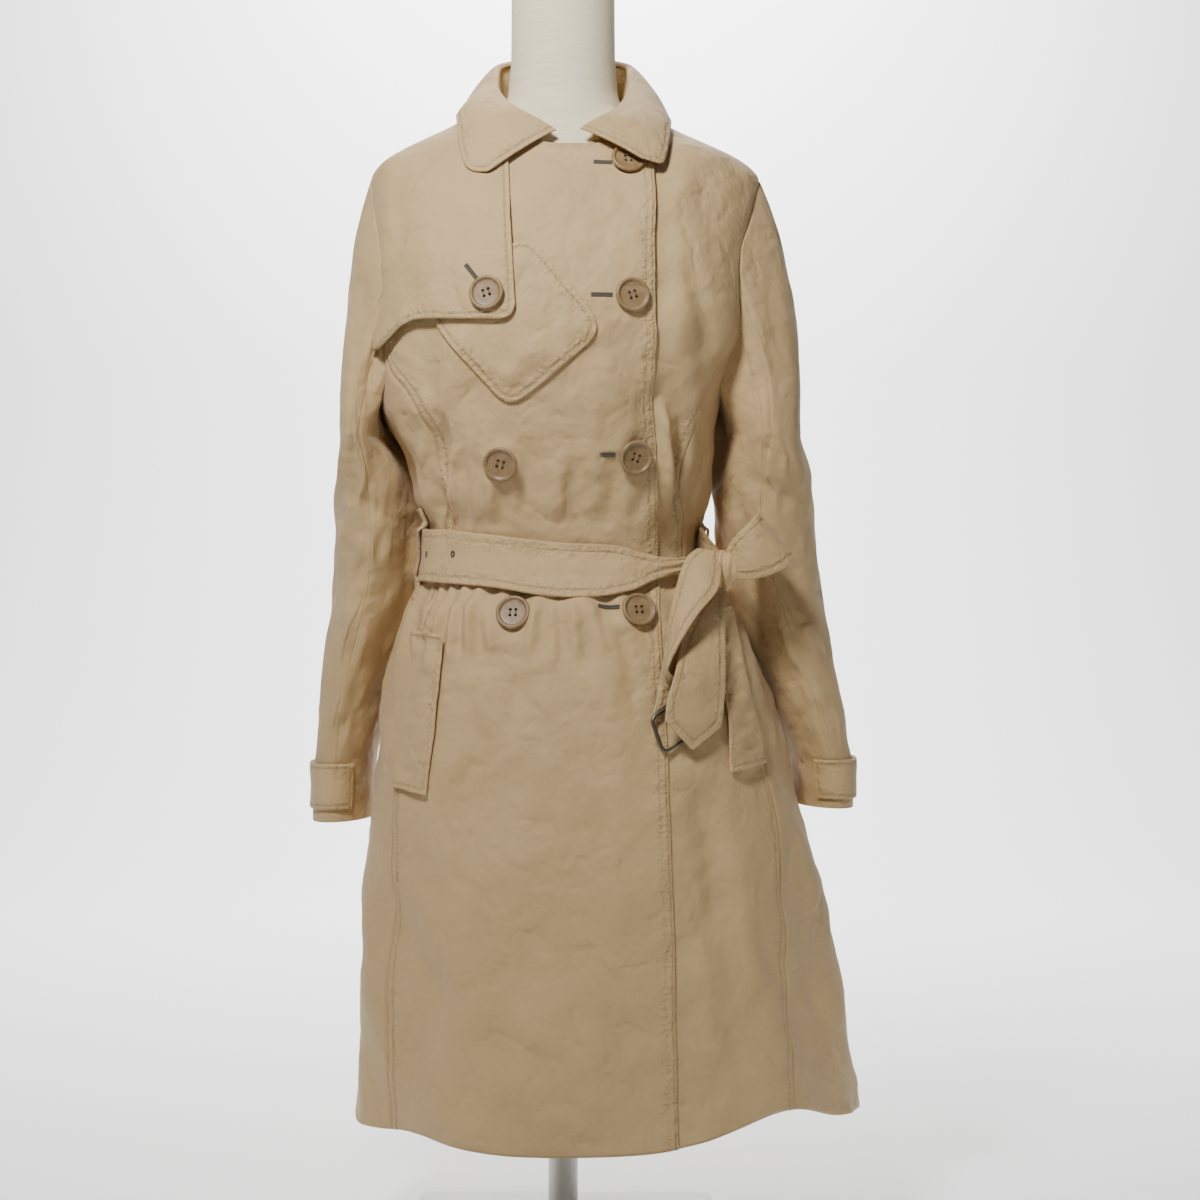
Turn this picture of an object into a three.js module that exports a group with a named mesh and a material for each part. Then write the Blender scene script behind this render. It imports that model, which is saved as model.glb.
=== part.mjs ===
// A double-breasted trench coat on a limbless dress form that stands on a steel plate.
// Millimetres. +Z is up, the front of the coat faces -Y and +X is on the right of someone who
// looks at the front.
// The origin is the middle of the plate's underside. Left and right in names are the wearer's.
import * as THREE from "three";

// Driving dimensions of the cloth
const CLOTH = 1.5;
const SEAM_GAP = 0.3;
const LAYER_GAP = 0.8;
const LINED = 2.2;
const LAYER = CLOTH + LAYER_GAP;
const LAP_FADE = 20;
const LAP_CLEAR = 8;
const UNDER_FROM = 8;

// How pieces stand off what lies under them
const NECK_SEAM = 1.7;
const STAND_DROP = 5;
const STAND_IN = 1.2;
const STAND_OPEN = 0.03;
const FLAP_NECK = 0.42;
const FLAP_LIFT = 7;
const FLAP_UP = CLOTH + LAYER_GAP + 0.4;
const FLAP_SHOULDER = 1.1;
const WELT_UP = CLOTH + 0.75;
const BELT_STEPS = 46;
const BELT_UP = CLOTH + 3.2;
const BELT_RISE = 2.5;
const BELT_THICK = 2.6;
const CARRIER_HALF = 3.2;
const CARRIER = [
  { z: 698, up: 3 },
  { z: 690, up: 4 },
  { z: 685, up: 8.5 },
  { z: 656, up: 10.5 },
  { z: 627, up: 8.5 },
  { z: 622, up: 6 },
  { z: 614, up: 5 },
];
const BUTTON_GAP = 0.5;

// The dress form and its stand
const FORM_UNDER = 6;
const FORM_TOUCH = 0.6;
const RIDGE_POWER = 200;
const PLATE = { side: 295, corner: 14, thick: 8 };

// Heights that the coat is built from
const HEM = 130;
const PRINCESS_TOP = 860;
const ARMPIT = 800;
const SHOULDER_TIP = 1010;
const NECK_POINT = 1078;
const FRONT_NECK = 1030;
const BACK_NECK = 1094;
const LAPEL_CORNER = 1034;
const NECK_HALF = 62;

// The coat's sections without its folds: side, front and back limits, and how square the front and back are
const COAT = [
  { z: 120, left: -191, right: 276, front: -173, back: 172, squareF: 2.2, squareB: 2.1 },
  { z: 233, left: -189, right: 258, front: -165, back: 165, squareF: 2.2, squareB: 2.1 },
  { z: 330, left: -185, right: 242, front: -157, back: 158, squareF: 2.2, squareB: 2.1 },
  { z: 433, left: -177, right: 218, front: -148, back: 150, squareF: 2.2, squareB: 2.1 },
  { z: 518, left: -168, right: 196, front: -137, back: 141, squareF: 2.2, squareB: 2.1 },
  { z: 584, left: -151, right: 171, front: -123, back: 127, squareF: 2.2, squareB: 2.1 },
  { z: 613, left: -141, right: 156, front: -113, back: 116, squareF: 2.2, squareB: 2.1 },
  { z: 634, left: -131, right: 134, front: -103, back: 103, squareF: 2.2, squareB: 2.1 },
  { z: 656, left: -126, right: 125, front: -98, back: 96, squareF: 2.2, squareB: 2.1 },
  { z: 680, left: -128, right: 127, front: -102, back: 98, squareF: 2.2, squareB: 2.1 },
  { z: 705, left: -138, right: 133, front: -110, back: 103, squareF: 2.3, squareB: 2.1 },
  { z: 742, left: -147, right: 137, front: -120, back: 109, squareF: 2.3, squareB: 2.2 },
  { z: 790, left: -170, right: 142, front: -130, back: 116, squareF: 2.3, squareB: 2.3 },
  { z: 830, left: -175, right: 158, front: -134, back: 119, squareF: 2.3, squareB: 2.3 },
  { z: 860, left: -175, right: 171, front: -134, back: 121, squareF: 2.3, squareB: 2.3 },
  { z: 900, left: -176, right: 175, front: -129, back: 121, squareF: 2.3, squareB: 2.3 },
  { z: 950, left: -178, right: 178, front: -113, back: 114, squareF: 2.2, squareB: 2.2 },
  { z: 985, left: -181, right: 182, front: -98, back: 103, squareF: 2.0, squareB: 2.0 },
  { z: 1010, left: -182, right: 184, front: -84, back: 92, squareF: 1.8, squareB: 1.8 },
  { z: 1021, left: -175, right: 177, front: -78, back: 86, squareF: 1.75, squareB: 1.75 },
  { z: 1031, left: -160, right: 163, front: -73, back: 81, squareF: 1.7, squareB: 1.7 },
  { z: 1041, left: -138, right: 142, front: -69, back: 76, squareF: 1.7, squareB: 1.7 },
  { z: 1050, left: -117, right: 121, front: -66, back: 72, squareF: 1.7, squareB: 1.7 },
  { z: 1060, left: -98, right: 100, front: -62, back: 68, squareF: 1.7, squareB: 1.7 },
  { z: 1070, left: -79, right: 79, front: -60, back: 65, squareF: 1.8, squareB: 1.8 },
  { z: 1078, left: -62, right: 62, front: -58, back: 63, squareF: 2.0, squareB: 2.0 },
  { z: 1086, left: -57, right: 57, front: -57, back: 61, squareF: 2.0, squareB: 2.0 },
  { z: 1096, left: -54, right: 54, front: -56, back: 60, squareF: 2.0, squareB: 2.0 },
];

// Rows of the body's panels from the hem to where the princess seams meet the armholes
const ROWS = [130, 205, 285, 365, 440, 505, 555, 590, 612, 634, 656, 680, 705, 740, 770, 800, 830, 860];
const SIDE_FAN_ROW = 13;
// How far each upper row lies from the armhole's seam to the shoulder or neckline
const UPPER_ROWS = [0.26, 0.5, 0.7, 0.85, 0.94, 1];

// Seams and edges as seen from the front, x at each height
const SEAMS = [
  { z: 130, princessR: -158, princessL: 213, overEdge: 104, underEdge: -49 },
  { z: 375, princessR: -155, princessL: 199, overEdge: 98, underEdge: -55 },
  { z: 457, princessR: -149, princessL: 188, overEdge: 95, underEdge: -58 },
  { z: 560, princessR: -136, princessL: 163, overEdge: 91, underEdge: -62 },
  { z: 604, princessR: -127, princessL: 150, overEdge: 89, underEdge: -64 },
  { z: 632, princessR: -115, princessL: 122, overEdge: 88, underEdge: -65 },
  { z: 656, princessR: -108, princessL: 111, overEdge: 87, underEdge: -67 },
  { z: 711, princessR: -110, princessL: 111, overEdge: 86, underEdge: -71 },
  { z: 740, princessR: -114, princessL: 114, overEdge: 85, underEdge: -73 },
  { z: 786, princessR: -126, princessL: 121, overEdge: 84, underEdge: -77 },
  { z: 803, princessR: -139, princessL: 129, overEdge: 84, underEdge: -78 },
  { z: 828, princessR: -157, princessL: 145, overEdge: 84, underEdge: -80 },
  { z: 860, princessR: -166, princessL: 161, overEdge: 84, underEdge: -82 },
  { z: 1010, princessR: -166, princessL: 161, overEdge: 84, underEdge: -82 },
];

// Armhole edges, the share of the section's half width at each height
const ARMHOLES = [
  { z: 860, front: 0.953, back: 0.95 },
  { z: 888, front: 0.93, back: 0.925 },
  { z: 917, front: 0.925, back: 0.915 },
  { z: 950, front: 0.95, back: 0.945 },
  { z: 985, front: 0.983, back: 0.98 },
  { z: 1010, front: 1, back: 1 },
];

// Soft folds of the body: the middle in degrees from the centre front, the width in degrees, out is positive
const FOLDS = [
  { at: -52, width: 5, low: 640, peak: 705, high: 800, depth: -4 },
  { at: -62, width: 5, low: 640, peak: 700, high: 780, depth: 3 },
  { at: 46, width: 7, low: 650, peak: 760, high: 900, depth: -5 },
  { at: 58, width: 6, low: 650, peak: 740, high: 870, depth: 4 },
  { at: -72, width: 12, low: -400, peak: 130, high: 560, depth: 6 },
  { at: -50, width: 11, low: -400, peak: 130, high: 520, depth: -6 },
  { at: -22, width: 13, low: -400, peak: 130, high: 470, depth: 4 },
  { at: 62, width: 11, low: -400, peak: 130, high: 540, depth: -9 },
  { at: 84, width: 12, low: -400, peak: 130, high: 560, depth: 7 },
  { at: 112, width: 14, low: -400, peak: 130, high: 560, depth: -8 },
  { at: 140, width: 14, low: -400, peak: 130, high: 540, depth: 9 },
  { at: 168, width: 12, low: -400, peak: 130, high: 560, depth: -8 },
  { at: -166, width: 12, low: -400, peak: 130, high: 540, depth: 8 },
  { at: -140, width: 13, low: -400, peak: 130, high: 560, depth: -8 },
  { at: -112, width: 13, low: -400, peak: 130, high: 540, depth: 8 },
];

// Gathers that the belt makes, how deep they are at each height
const GATHERS = [
  { z: 130, depth: 0 },
  { z: 540, depth: 0.3 },
  { z: 590, depth: 2.2 },
  { z: 612, depth: 3.2 },
  { z: 634, depth: 1.2 },
  { z: 656, depth: 0 },
  { z: 680, depth: 0.8 },
  { z: 705, depth: 2.2 },
  { z: 740, depth: 1.4 },
  { z: 800, depth: 0 },
  { z: 1100, depth: 0 },
];

// Where the hem lies higher: the middle and width in degrees from the centre front
const HEM_LIFTS = [
  { at: 42, width: 19, rise: 26 },
  { at: -38, width: 16, rise: 8 },
];
const HEM_FADE = 150;

// Reads a named column of a table as a smooth function that doesn't overshoot its rows.
function column(rows, name, along = "z") {
  const at = rows.map((row) => row[along]);
  const value = rows.map((row) => row[name]);
  const last = rows.length - 1;
  const rise = (i) => (value[i + 1] - value[i]) / (at[i + 1] - at[i]);
  const slope = value.map((_, i) => {
    if (i === 0) return rise(0);
    if (i === last) return rise(last - 1);
    const before = rise(i - 1);
    const after = rise(i);
    return before * after <= 0 ? 0 : (2 * before * after) / (before + after);
  });
  return (x) => {
    if (x <= at[0]) return value[0];
    if (x >= at[last]) return value[last];
    const i = at.findIndex((a, k) => x < at[k + 1]);
    const step = at[i + 1] - at[i];
    const t = (x - at[i]) / step;
    const keep = 1 + 2 * t;
    const back = 1 - t;
    return (
      keep * back * back * value[i] +
      t * back * back * step * slope[i] +
      t * t * (3 - 2 * t) * value[i + 1] -
      t * t * back * step * slope[i + 1]
    );
  };
}

const columns = (rows, names, along) => (
  Object.fromEntries(names.map((name) => [name, column(rows, name, along)]))
);
const mix = (a, b, t) => a + (b - a) * t;
const radians = THREE.MathUtils.degToRad;
const smooth = (x) => THREE.MathUtils.smoothstep(x, 0, 1);
const power = (x, exponent) => Math.sign(x) * Math.abs(x) ** exponent;
const span = (count, make) => Array.from({ length: count + 1 }, (_, i) => make(i / count, i));

const coat = columns(COAT, ["left", "right", "front", "back", "squareF", "squareB"]);
const seams = columns(SEAMS, ["princessR", "princessL", "overEdge", "underEdge"]);
const armhole = columns(ARMHOLES, ["front", "back"]);
const gatherDepth = column(GATHERS, "depth");
const middle = (z) => (coat.left(z) + coat.right(z)) / 2;
const halfWidth = (z) => (coat.right(z) - coat.left(z)) / 2;

// A point of a table of sections, by the angle from the centre front. The wearer's right is at -90 degrees.
function sectionPoint(table, angle, z) {
  const across = Math.sin(angle);
  const ahead = Math.cos(angle);
  const centre = (table.left(z) + table.right(z)) / 2;
  const half = (table.right(z) - table.left(z)) / 2;
  const square = ahead > 0 ? table.squareF(z) : table.squareB(z);
  const depth = ahead > 0 ? -table.front(z) : table.back(z);
  return new THREE.Vector3(
    centre + half * power(across, 2 / square),
    -depth * power(ahead, 2 / square),
    z,
  );
}

// The outward normal of the coat's plain form.
function formNormal(angle, z) {
  const turn = 0.02;
  const rise = 2;
  const across = sectionPoint(coat, angle + turn, z).sub(sectionPoint(coat, angle - turn, z));
  const up = sectionPoint(coat, angle, z + rise).sub(sectionPoint(coat, angle, z - rise));
  return across.cross(up).normalize();
}

function foldDepth(angle, z) {
  const degrees = THREE.MathUtils.radToDeg(angle);
  return FOLDS.reduce((sum, fold) => {
    const off = ((((degrees - fold.at) % 360) + 540) % 360) - 180;
    const above = (fold.high - z) / (fold.high - fold.peak);
    const below = (z - fold.low) / (fold.peak - fold.low);
    const reach = z > fold.peak ? above : below;
    if (reach <= 0 || Math.abs(off) > 2.5 * fold.width) return sum;
    return sum + fold.depth * smooth(Math.min(1, reach)) * Math.exp(-((off / fold.width) ** 2));
  }, 0);
}

// A point on the coat, at a height above the inside of its cloth.
function onCoat(angle, z, above = 0) {
  const out = above + foldDepth(angle, z);
  return sectionPoint(coat, angle, z).addScaledVector(formNormal(angle, z), out);
}

// How much higher a place near the hem lies than on a level hem.
function hemLift(angle, z) {
  const degrees = THREE.MathUtils.radToDeg(angle);
  const fade = 1 - smooth((z - HEM) / HEM_FADE);
  const share = ({ at, width }) => Math.exp(-(((degrees - at) / width) ** 2));
  return HEM_LIFTS.reduce((sum, part) => sum + part.rise * fade * share(part), 0);
}

// The angle of the section at which x is reached, on the front or on the back.
function angleAt(x, z, behind = false) {
  const share = THREE.MathUtils.clamp((x - middle(z)) / halfWidth(z), -1, 1);
  const turn = Math.asin(power(share, (behind ? coat.squareB(z) : coat.squareF(z)) / 2));
  return behind ? -Math.PI - turn : turn;
}

// A closed wall between an outer and an inner grid of points, which may be a ring.
function wall(outer, inner, ring = false) {
  const rows = outer.length;
  const count = outer[0].length;
  const points = [...outer.flat(), ...inner.flat()];
  const index = (side, row, i) => side * rows * count + row * count + (i % count);
  const faces = [];
  const quad = (a, b, c, d) => {
    const crossLong = points[a].distanceTo(points[c]) > points[b].distanceTo(points[d]);
    faces.push(...(crossLong ? [a, b, d, b, c, d] : [a, b, c, a, c, d]));
  };
  const strips = ring ? count : count - 1;
  for (let row = 0; row < rows - 1; row++)
    for (let i = 0; i < strips; i++) {
      quad(index(0, row, i), index(0, row, i + 1), index(0, row + 1, i + 1), index(0, row + 1, i));
      quad(index(1, row, i + 1), index(1, row, i), index(1, row + 1, i), index(1, row + 1, i + 1));
    }
  for (let i = 0; i < strips; i++) {
    quad(index(0, 0, i + 1), index(0, 0, i), index(1, 0, i), index(1, 0, i + 1));
    quad(index(0, rows - 1, i), index(0, rows - 1, i + 1), index(1, rows - 1, i + 1), index(1, rows - 1, i));
  }
  if (!ring)
    for (let row = 0; row < rows - 1; row++) {
      const end = count - 1;
      quad(index(0, row, 0), index(0, row + 1, 0), index(1, row + 1, 0), index(1, row, 0));
      quad(index(0, row + 1, end), index(0, row, end), index(1, row, end), index(1, row + 1, end));
    }
  return facesOut(points, faces);
}

// A geometry whose faces point out, whichever way the points run.
function facesOut(points, faces) {
  let volume = 0;
  for (let i = 0; i < faces.length; i += 3)
    volume += points[faces[i]].dot(points[faces[i + 1]].clone().cross(points[faces[i + 2]]));
  if (volume < 0) faces.reverse();
  return new THREE.BufferGeometry().setFromPoints(points).setIndex(faces);
}

// The normals of a grid of points, from each point's neighbours.
function gridNormals(grid, flip = 1) {
  return grid.map((row, j) =>
    row.map((_, i) => {
      const across = row[Math.min(i + 1, row.length - 1)].clone().sub(row[Math.max(i - 1, 0)]);
      const up = grid[Math.min(j + 1, grid.length - 1)][i].clone().sub(grid[Math.max(j - 1, 0)][i]);
      return across.cross(up).normalize().multiplyScalar(flip);
    }),
  );
}

// A wall of even thickness behind a grid of points.
function thickened(grid, thickness, flip = 1) {
  const normals = gridNormals(grid, flip);
  const inner = grid.map((row, j) => row.map((p, i) => p.clone().addScaledVector(normals[j][i], -thickness)));
  return wall(grid, inner);
}

// The armhole's edge as one ring of points: up the front, down the back and forward along the scoop.
function armholeRing(front, behind, scoop) {
  const tip = front.at(-1).clone().lerp(behind.at(-1), 0.5);
  return [...front.slice(0, -1), tip, ...behind.slice(0, -1).reverse(), ...scoop.slice(1, -1).reverse()];
}

// A point of a sleeve's section. Turn 0 is its outer side, 90 degrees its front, and side is -1 or 1.
function sleevePoint(section, side, turn) {
  const across = Math.cos(turn) * section.half;
  const ahead = Math.sin(turn) * section.deep;
  const swing = radians(section.swing);
  return new THREE.Vector3(
    section.x + side * (across * Math.cos(swing) + ahead * Math.sin(swing)),
    section.y - ahead * Math.cos(swing) + across * Math.sin(swing),
    section.z,
  );
}

// A sleeve's outer grid: the cap curves from the armhole to the first section, then the sections follow.
function sleeveGrid(ring, sections, side, capOut) {
  const underTurn = (2 * (180 - UPPER_TURN)) / (ring.length - CAP_COLUMNS);
  const turns = ring.map((_, i) => radians(
    i <= CAP_COLUMNS ? UPPER_TURN * (1 - (2 * i) / CAP_COLUMNS) : -UPPER_TURN - underTurn * (i - CAP_COLUMNS),
  ));
  const start = ring.map((p) => p.clone().add(new THREE.Vector3(side * SLEEVE_START, 0, 0)));
  const body = sections.map((section) => turns.map((turn, i) => {
    const crease = section.crease * Math.sin(i * 1.9 + section.z * 0.021);
    const swollen = { ...section, half: section.half + crease, deep: section.deep + crease };
    return sleevePoint(swollen, side, turn);
  }));
  const cap = CAP_SHARES.map((t) => start.map((from, i) => {
    const to = body[0][i];
    const reach = from.distanceTo(to);
    const away = new THREE.Vector3(side * capOut, 0, -1).normalize().multiplyScalar(reach);
    const down = new THREE.Vector3(0, 0, -reach);
    const u = 1 - t;
    return from.clone().multiplyScalar(u * u * (1 + 2 * t))
      .addScaledVector(away, t * u * u)
      .addScaledVector(to, t * t * (3 - 2 * t))
      .addScaledVector(down, -t * t * u);
  }));
  return [...cap, ...body];
}

// The normals of a grid that closes on itself, pointing away from its rows' middles.
function ringNormals(grid) {
  const count = grid[0].length;
  return grid.map((row, j) => {
    const centre = row.reduce((sum, p) => sum.add(p), new THREE.Vector3()).divideScalar(count);
    const normals = row.map((_, i) => {
      const across = row[(i + 1) % count].clone().sub(row[(i + count - 1) % count]);
      const up = grid[Math.min(j + 1, grid.length - 1)][i].clone().sub(grid[Math.max(j - 1, 0)][i]);
      return across.cross(up).normalize();
    });
    const outward = normals.reduce((sum, n, i) => sum + n.dot(row[i].clone().sub(centre)), 0);
    return outward < 0 ? normals.map((n) => n.negate()) : normals;
  });
}

const raised = (grid, normals, height) => grid.map((row, j) => (
  row.map((p, i) => p.clone().addScaledVector(normals[j][i], height))
));

// A run of a ring's columns, its two end columns drawn in by half a seam's gap.
function columnsOf(grid, from, to, trim = SEAM_GAP / 2) {
  return grid.map((row) => {
    const run = span(to - from, (_, k) => row[(from + k + row.length) % row.length].clone());
    const drawn = (p, next) => p.clone().lerp(next, trim / p.distanceTo(next));
    const first = drawn(run[0], run[1]);
    const last = drawn(run.at(-1), run.at(-2));
    return [first, ...run.slice(1, -1), last];
  });
}

function addSleeve(name, side, ring, sections) {
  const outer = sleeveGrid(ring, sections, side, CAP_OUT[name]);
  const normals = ringNormals(outer);
  const inner = raised(outer, normals, -CLOTH);
  const piece = (from, to) => wall(columnsOf(outer, from, to), columnsOf(inner, from, to));
  add(`sleeve_upper_${name}`, piece(0, CAP_COLUMNS));
  add(`sleeve_under_${name}`, piece(CAP_COLUMNS, ring.length));
  const rows = outer.slice(STRAP_ROWS.from, STRAP_ROWS.to);
  const out = normals.slice(STRAP_ROWS.from, STRAP_ROWS.to);
  const stand = (row, i) => {
    const off = Math.abs(i - CAP_COLUMNS / 2);
    return row === 0 && off < STRAP_REACH ? STRAP_STAND * Math.cos((off / STRAP_REACH) * (Math.PI / 2)) : 0;
  };
  const strap = (height) => {
    const flat = raised(rows, out, height);
    const standing = flat.map((row, j) => row.map((p, i) => p.addScaledVector(out[j][i], stand(j, i))));
    return columnsOf(standing, STRAP_FRONT, CAP_COLUMNS);
  };
  add(`cuff_strap_${name}`, wall(strap(LAYER_GAP + LINED), strap(LAYER_GAP)));
}

// A closed body from a stack of rings of the same count, flat at both ends.
function capped(rings) {
  const count = rings[0].length;
  const points = rings.flat();
  const faces = [];
  for (let row = 0; row < rings.length - 1; row++)
    for (let i = 0; i < count; i++) {
      const next = (i + 1) % count;
      const above = (row + 1) * count;
      const [a, b, c, d] = [row * count + i, row * count + next, above + next, above + i];
      faces.push(a, b, c, a, c, d);
    }
  const last = points.length - count;
  for (let i = 1; i < count - 1; i++) faces.push(0, i + 1, i, last, last + i, last + i + 1);
  return facesOut(points, faces);
}

// A tube's geometry with its two ends closed.
function closedTube(tube, lengths, sides) {
  const at = tube.attributes.position;
  const point = (j, i) => new THREE.Vector3().fromBufferAttribute(at, j * (sides + 1) + i);
  return capped(span(lengths, (_, j) => span(sides - 1, (__, i) => point(j, i))));
}

// A ring of points round a square with rounded corners.
function roundedSquare(half, corner, z) {
  const turns = [0, 1, 2, 3].flatMap((quarter) => span(4, (t) => radians(90 * (quarter + t))));
  return turns.map((turn, i) => {
    const middleTurn = radians(90 * Math.floor(i / 5) + 45);
    const reach = half - corner;
    return new THREE.Vector3(
      Math.sign(Math.cos(middleTurn)) * reach + corner * Math.cos(turn),
      Math.sign(Math.sin(middleTurn)) * reach + corner * Math.sin(turn),
      z,
    );
  });
}

const parts = new THREE.Group();
const CLOTH_COLOUR = 0xbfa784;

function add(name, geometry, colour = CLOTH_COLOUR, roughness = 0.85, metalness = 0) {
  const material = new THREE.MeshStandardMaterial({ color: colour, roughness, metalness });
  const mesh = new THREE.Mesh(geometry, material);
  mesh.name = name;
  parts.add(mesh);
  return mesh;
}

// A patch between four edges of [x, z] places, which share their corners.
function patch(bottom, top, start, end, shares) {
  const blend = (k, i, u, j, v) =>
    (1 - v) * bottom[i][k] + v * top[i][k] + (1 - u) * start[j][k] + u * end[j][k] -
    (1 - u) * ((1 - v) * bottom[0][k] + v * top[0][k]) -
    u * ((1 - v) * bottom.at(-1)[k] + v * top.at(-1)[k]);
  return shares.map((v, j) => bottom.map((_, i) => {
    const u = i / (bottom.length - 1);
    return [blend(0, i, u, j, v), blend(1, i, u, j, v)];
  }));
}

// Places along the shoulder seam, from the tip to the neck point, and along the necklines
const SHOULDER_ROWS = [SHOULDER_TIP, 1020, 1033, 1050, NECK_POINT];
const SHOULDER_STEPS = SHOULDER_ROWS.length - 1;
const shoulderPlace = (side, t) => {
  const step = Math.min(SHOULDER_STEPS - 1, Math.floor(t * SHOULDER_STEPS));
  const z = mix(SHOULDER_ROWS[step], SHOULDER_ROWS[step + 1], t * SHOULDER_STEPS - step);
  return [middle(z) + side * halfWidth(z), z];
};
const frontNeckPlace = (side, t) => {
  const turn = radians(90 * (1 - t));
  return [side * NECK_HALF * Math.sin(turn), mix(FRONT_NECK, NECK_POINT, 1 - Math.cos(turn))];
};
const backNeckPlace = (t) => {
  const turn = radians(mix(-90, 90, t));
  return [NECK_HALF * Math.sin(turn), mix(NECK_POINT, BACK_NECK, Math.cos(turn))];
};

// A front above the armpit: it goes up to the shoulder seam, the neckline and the corner that laps over.
// Closed is how many of its columns end on the neckline.
function frontTop(side, bottom, edge, closed) {
  const shares = [0, ...UPPER_ROWS];
  const start = shares.map((v) => {
    const z = mix(PRINCESS_TOP, SHOULDER_TIP, v);
    return [middle(z) + side * halfWidth(z) * armhole.front(z), z];
  });
  start[0] = bottom[0];
  const top = bottom.map((_, i) => {
    if (i <= SHOULDER_STEPS) return shoulderPlace(side, i / SHOULDER_STEPS);
    const k = i - SHOULDER_STEPS;
    if (k <= closed) return frontNeckPlace(side, k / closed);
    const t = (k - closed) / (bottom.length - 1 - SHOULDER_STEPS - closed);
    return [mix(0, edge(LAPEL_CORNER), t), mix(FRONT_NECK, LAPEL_CORNER, t * t)];
  });
  const end = shares.map((v) => {
    const z = mix(PRINCESS_TOP, LAPEL_CORNER, v);
    return [edge(z), z];
  });
  end[0] = bottom.at(-1);
  const upper = patch(bottom, top, start, end, shares).slice(1);
  return upper.map((row) => row.map(([x, z], i) => {
    const ridge = i <= SHOULDER_STEPS && row === upper.at(-1);
    return [ridge ? side * (Math.PI / 2 - 0.004) : angleAt(x, z), z, 0];
  }));
}

const placeX = ([angle, z]) => [sectionPoint(coat, angle, z).x, z];

// The right front laps over the left one. Its columns run from the princess seam to its edge.
function overPlaces(shares) {
  const places = ROWS.map((z) => {
    const from = angleAt(seams.princessR(z), z) + SEAM_GAP / halfWidth(z);
    const to = angleAt(seams.overEdge(z), z);
    return shares.map((share, i) => [mix(from, to, share), z, gathers(i, shares.length - 1, z, 1)]);
  });
  return [...places, ...frontTop(-1, places.at(-1).map(placeX), seams.overEdge, 8)];
}

// The left front lies one layer lower where the right one covers it, and shares its columns there.
function underPlaces(overRows, open) {
  const places = ROWS.map((z, j) => {
    const from = angleAt(seams.princessL(z), z) - SEAM_GAP / halfWidth(z);
    const covered = overRows[j].slice(UNDER_FROM).reverse();
    const free = span(open, (t, i) => [mix(from, covered[0][0], t), z, gathers(i, open, z, 0.7)]);
    return [...free.slice(0, -1), ...covered];
  });
  const coveredEdge = (z) => sectionPoint(coat, places.at(-1).at(-1)[0], z).x;
  const top = frontTop(1, places.at(-1).map(placeX), coveredEdge, 5);
  return [...places, ...top].map((row) => row.map(([angle, z, more]) => {
    const { x } = sectionPoint(coat, angle, z);
    const across = 1 - smooth((x - seams.overEdge(z) - LAP_CLEAR) / LAP_FADE);
    const up = 1 - smooth((z - LAPEL_CORNER - LAP_CLEAR) / LAP_FADE);
    const chestward = 1 + smooth((z - ARMPIT) / (PRINCESS_TOP - ARMPIT));
    return [angle, z, more - LAYER * chestward * across * up];
  }));
}

// Alternate columns stand out and fall back where the belt gathers the cloth. Edges stay in place.
function gathers(i, count, z, amount) {
  const inside = i > 0 && i < count;
  const uneven = 0.75 + 0.25 * Math.sin(i * 2.4);
  return inside ? amount * uneven * gatherDepth(z) * (i % 2 ? -1 : 1) : 0;
}

// The side panels end in a scoop under the arm, between the two princess seams.
function sidePlaces(side, count) {
  const seam = side < 0 ? seams.princessR : seams.princessL;
  const trim = side * SEAM_GAP * 0.8;
  return ROWS.map((rowZ, j) => {
    const fan = Math.max(0, (j - SIDE_FAN_ROW) / (ROWS.length - 1 - SIDE_FAN_ROW));
    return span(count, (t, i) => {
      const scoop = mix(PRINCESS_TOP, ARMPIT, Math.sin(Math.PI * t) ** 0.6);
      const z = fan > 0 ? mix(ROWS[SIDE_FAN_ROW], scoop, fan) : rowZ;
      const from = angleAt(seam(z), z) + trim / halfWidth(z);
      const to = backSeamAngle(side, z) - trim / halfWidth(z);
      return [mix(from, to, t), z, gathers(i, count, z, 1)];
    });
  });
}

// The seam between a side panel and the back, by its angle: it mirrors the princess seam.
function backSeamAngle(side, z) {
  const seam = side < 0 ? seams.princessR : seams.princessL;
  const front = angleAt(seam(z), z);
  const last = angleAt(middle(z) + side * halfWidth(z) * armhole.back(z), z, true);
  const atTop = smooth((z - ROWS[SIDE_FAN_ROW]) / (PRINCESS_TOP - ROWS[SIDE_FAN_ROW]));
  const mirrored = side * Math.PI - front;
  return mix(mirrored, side < 0 ? last : last + 2 * Math.PI, atTop);
}

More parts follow.
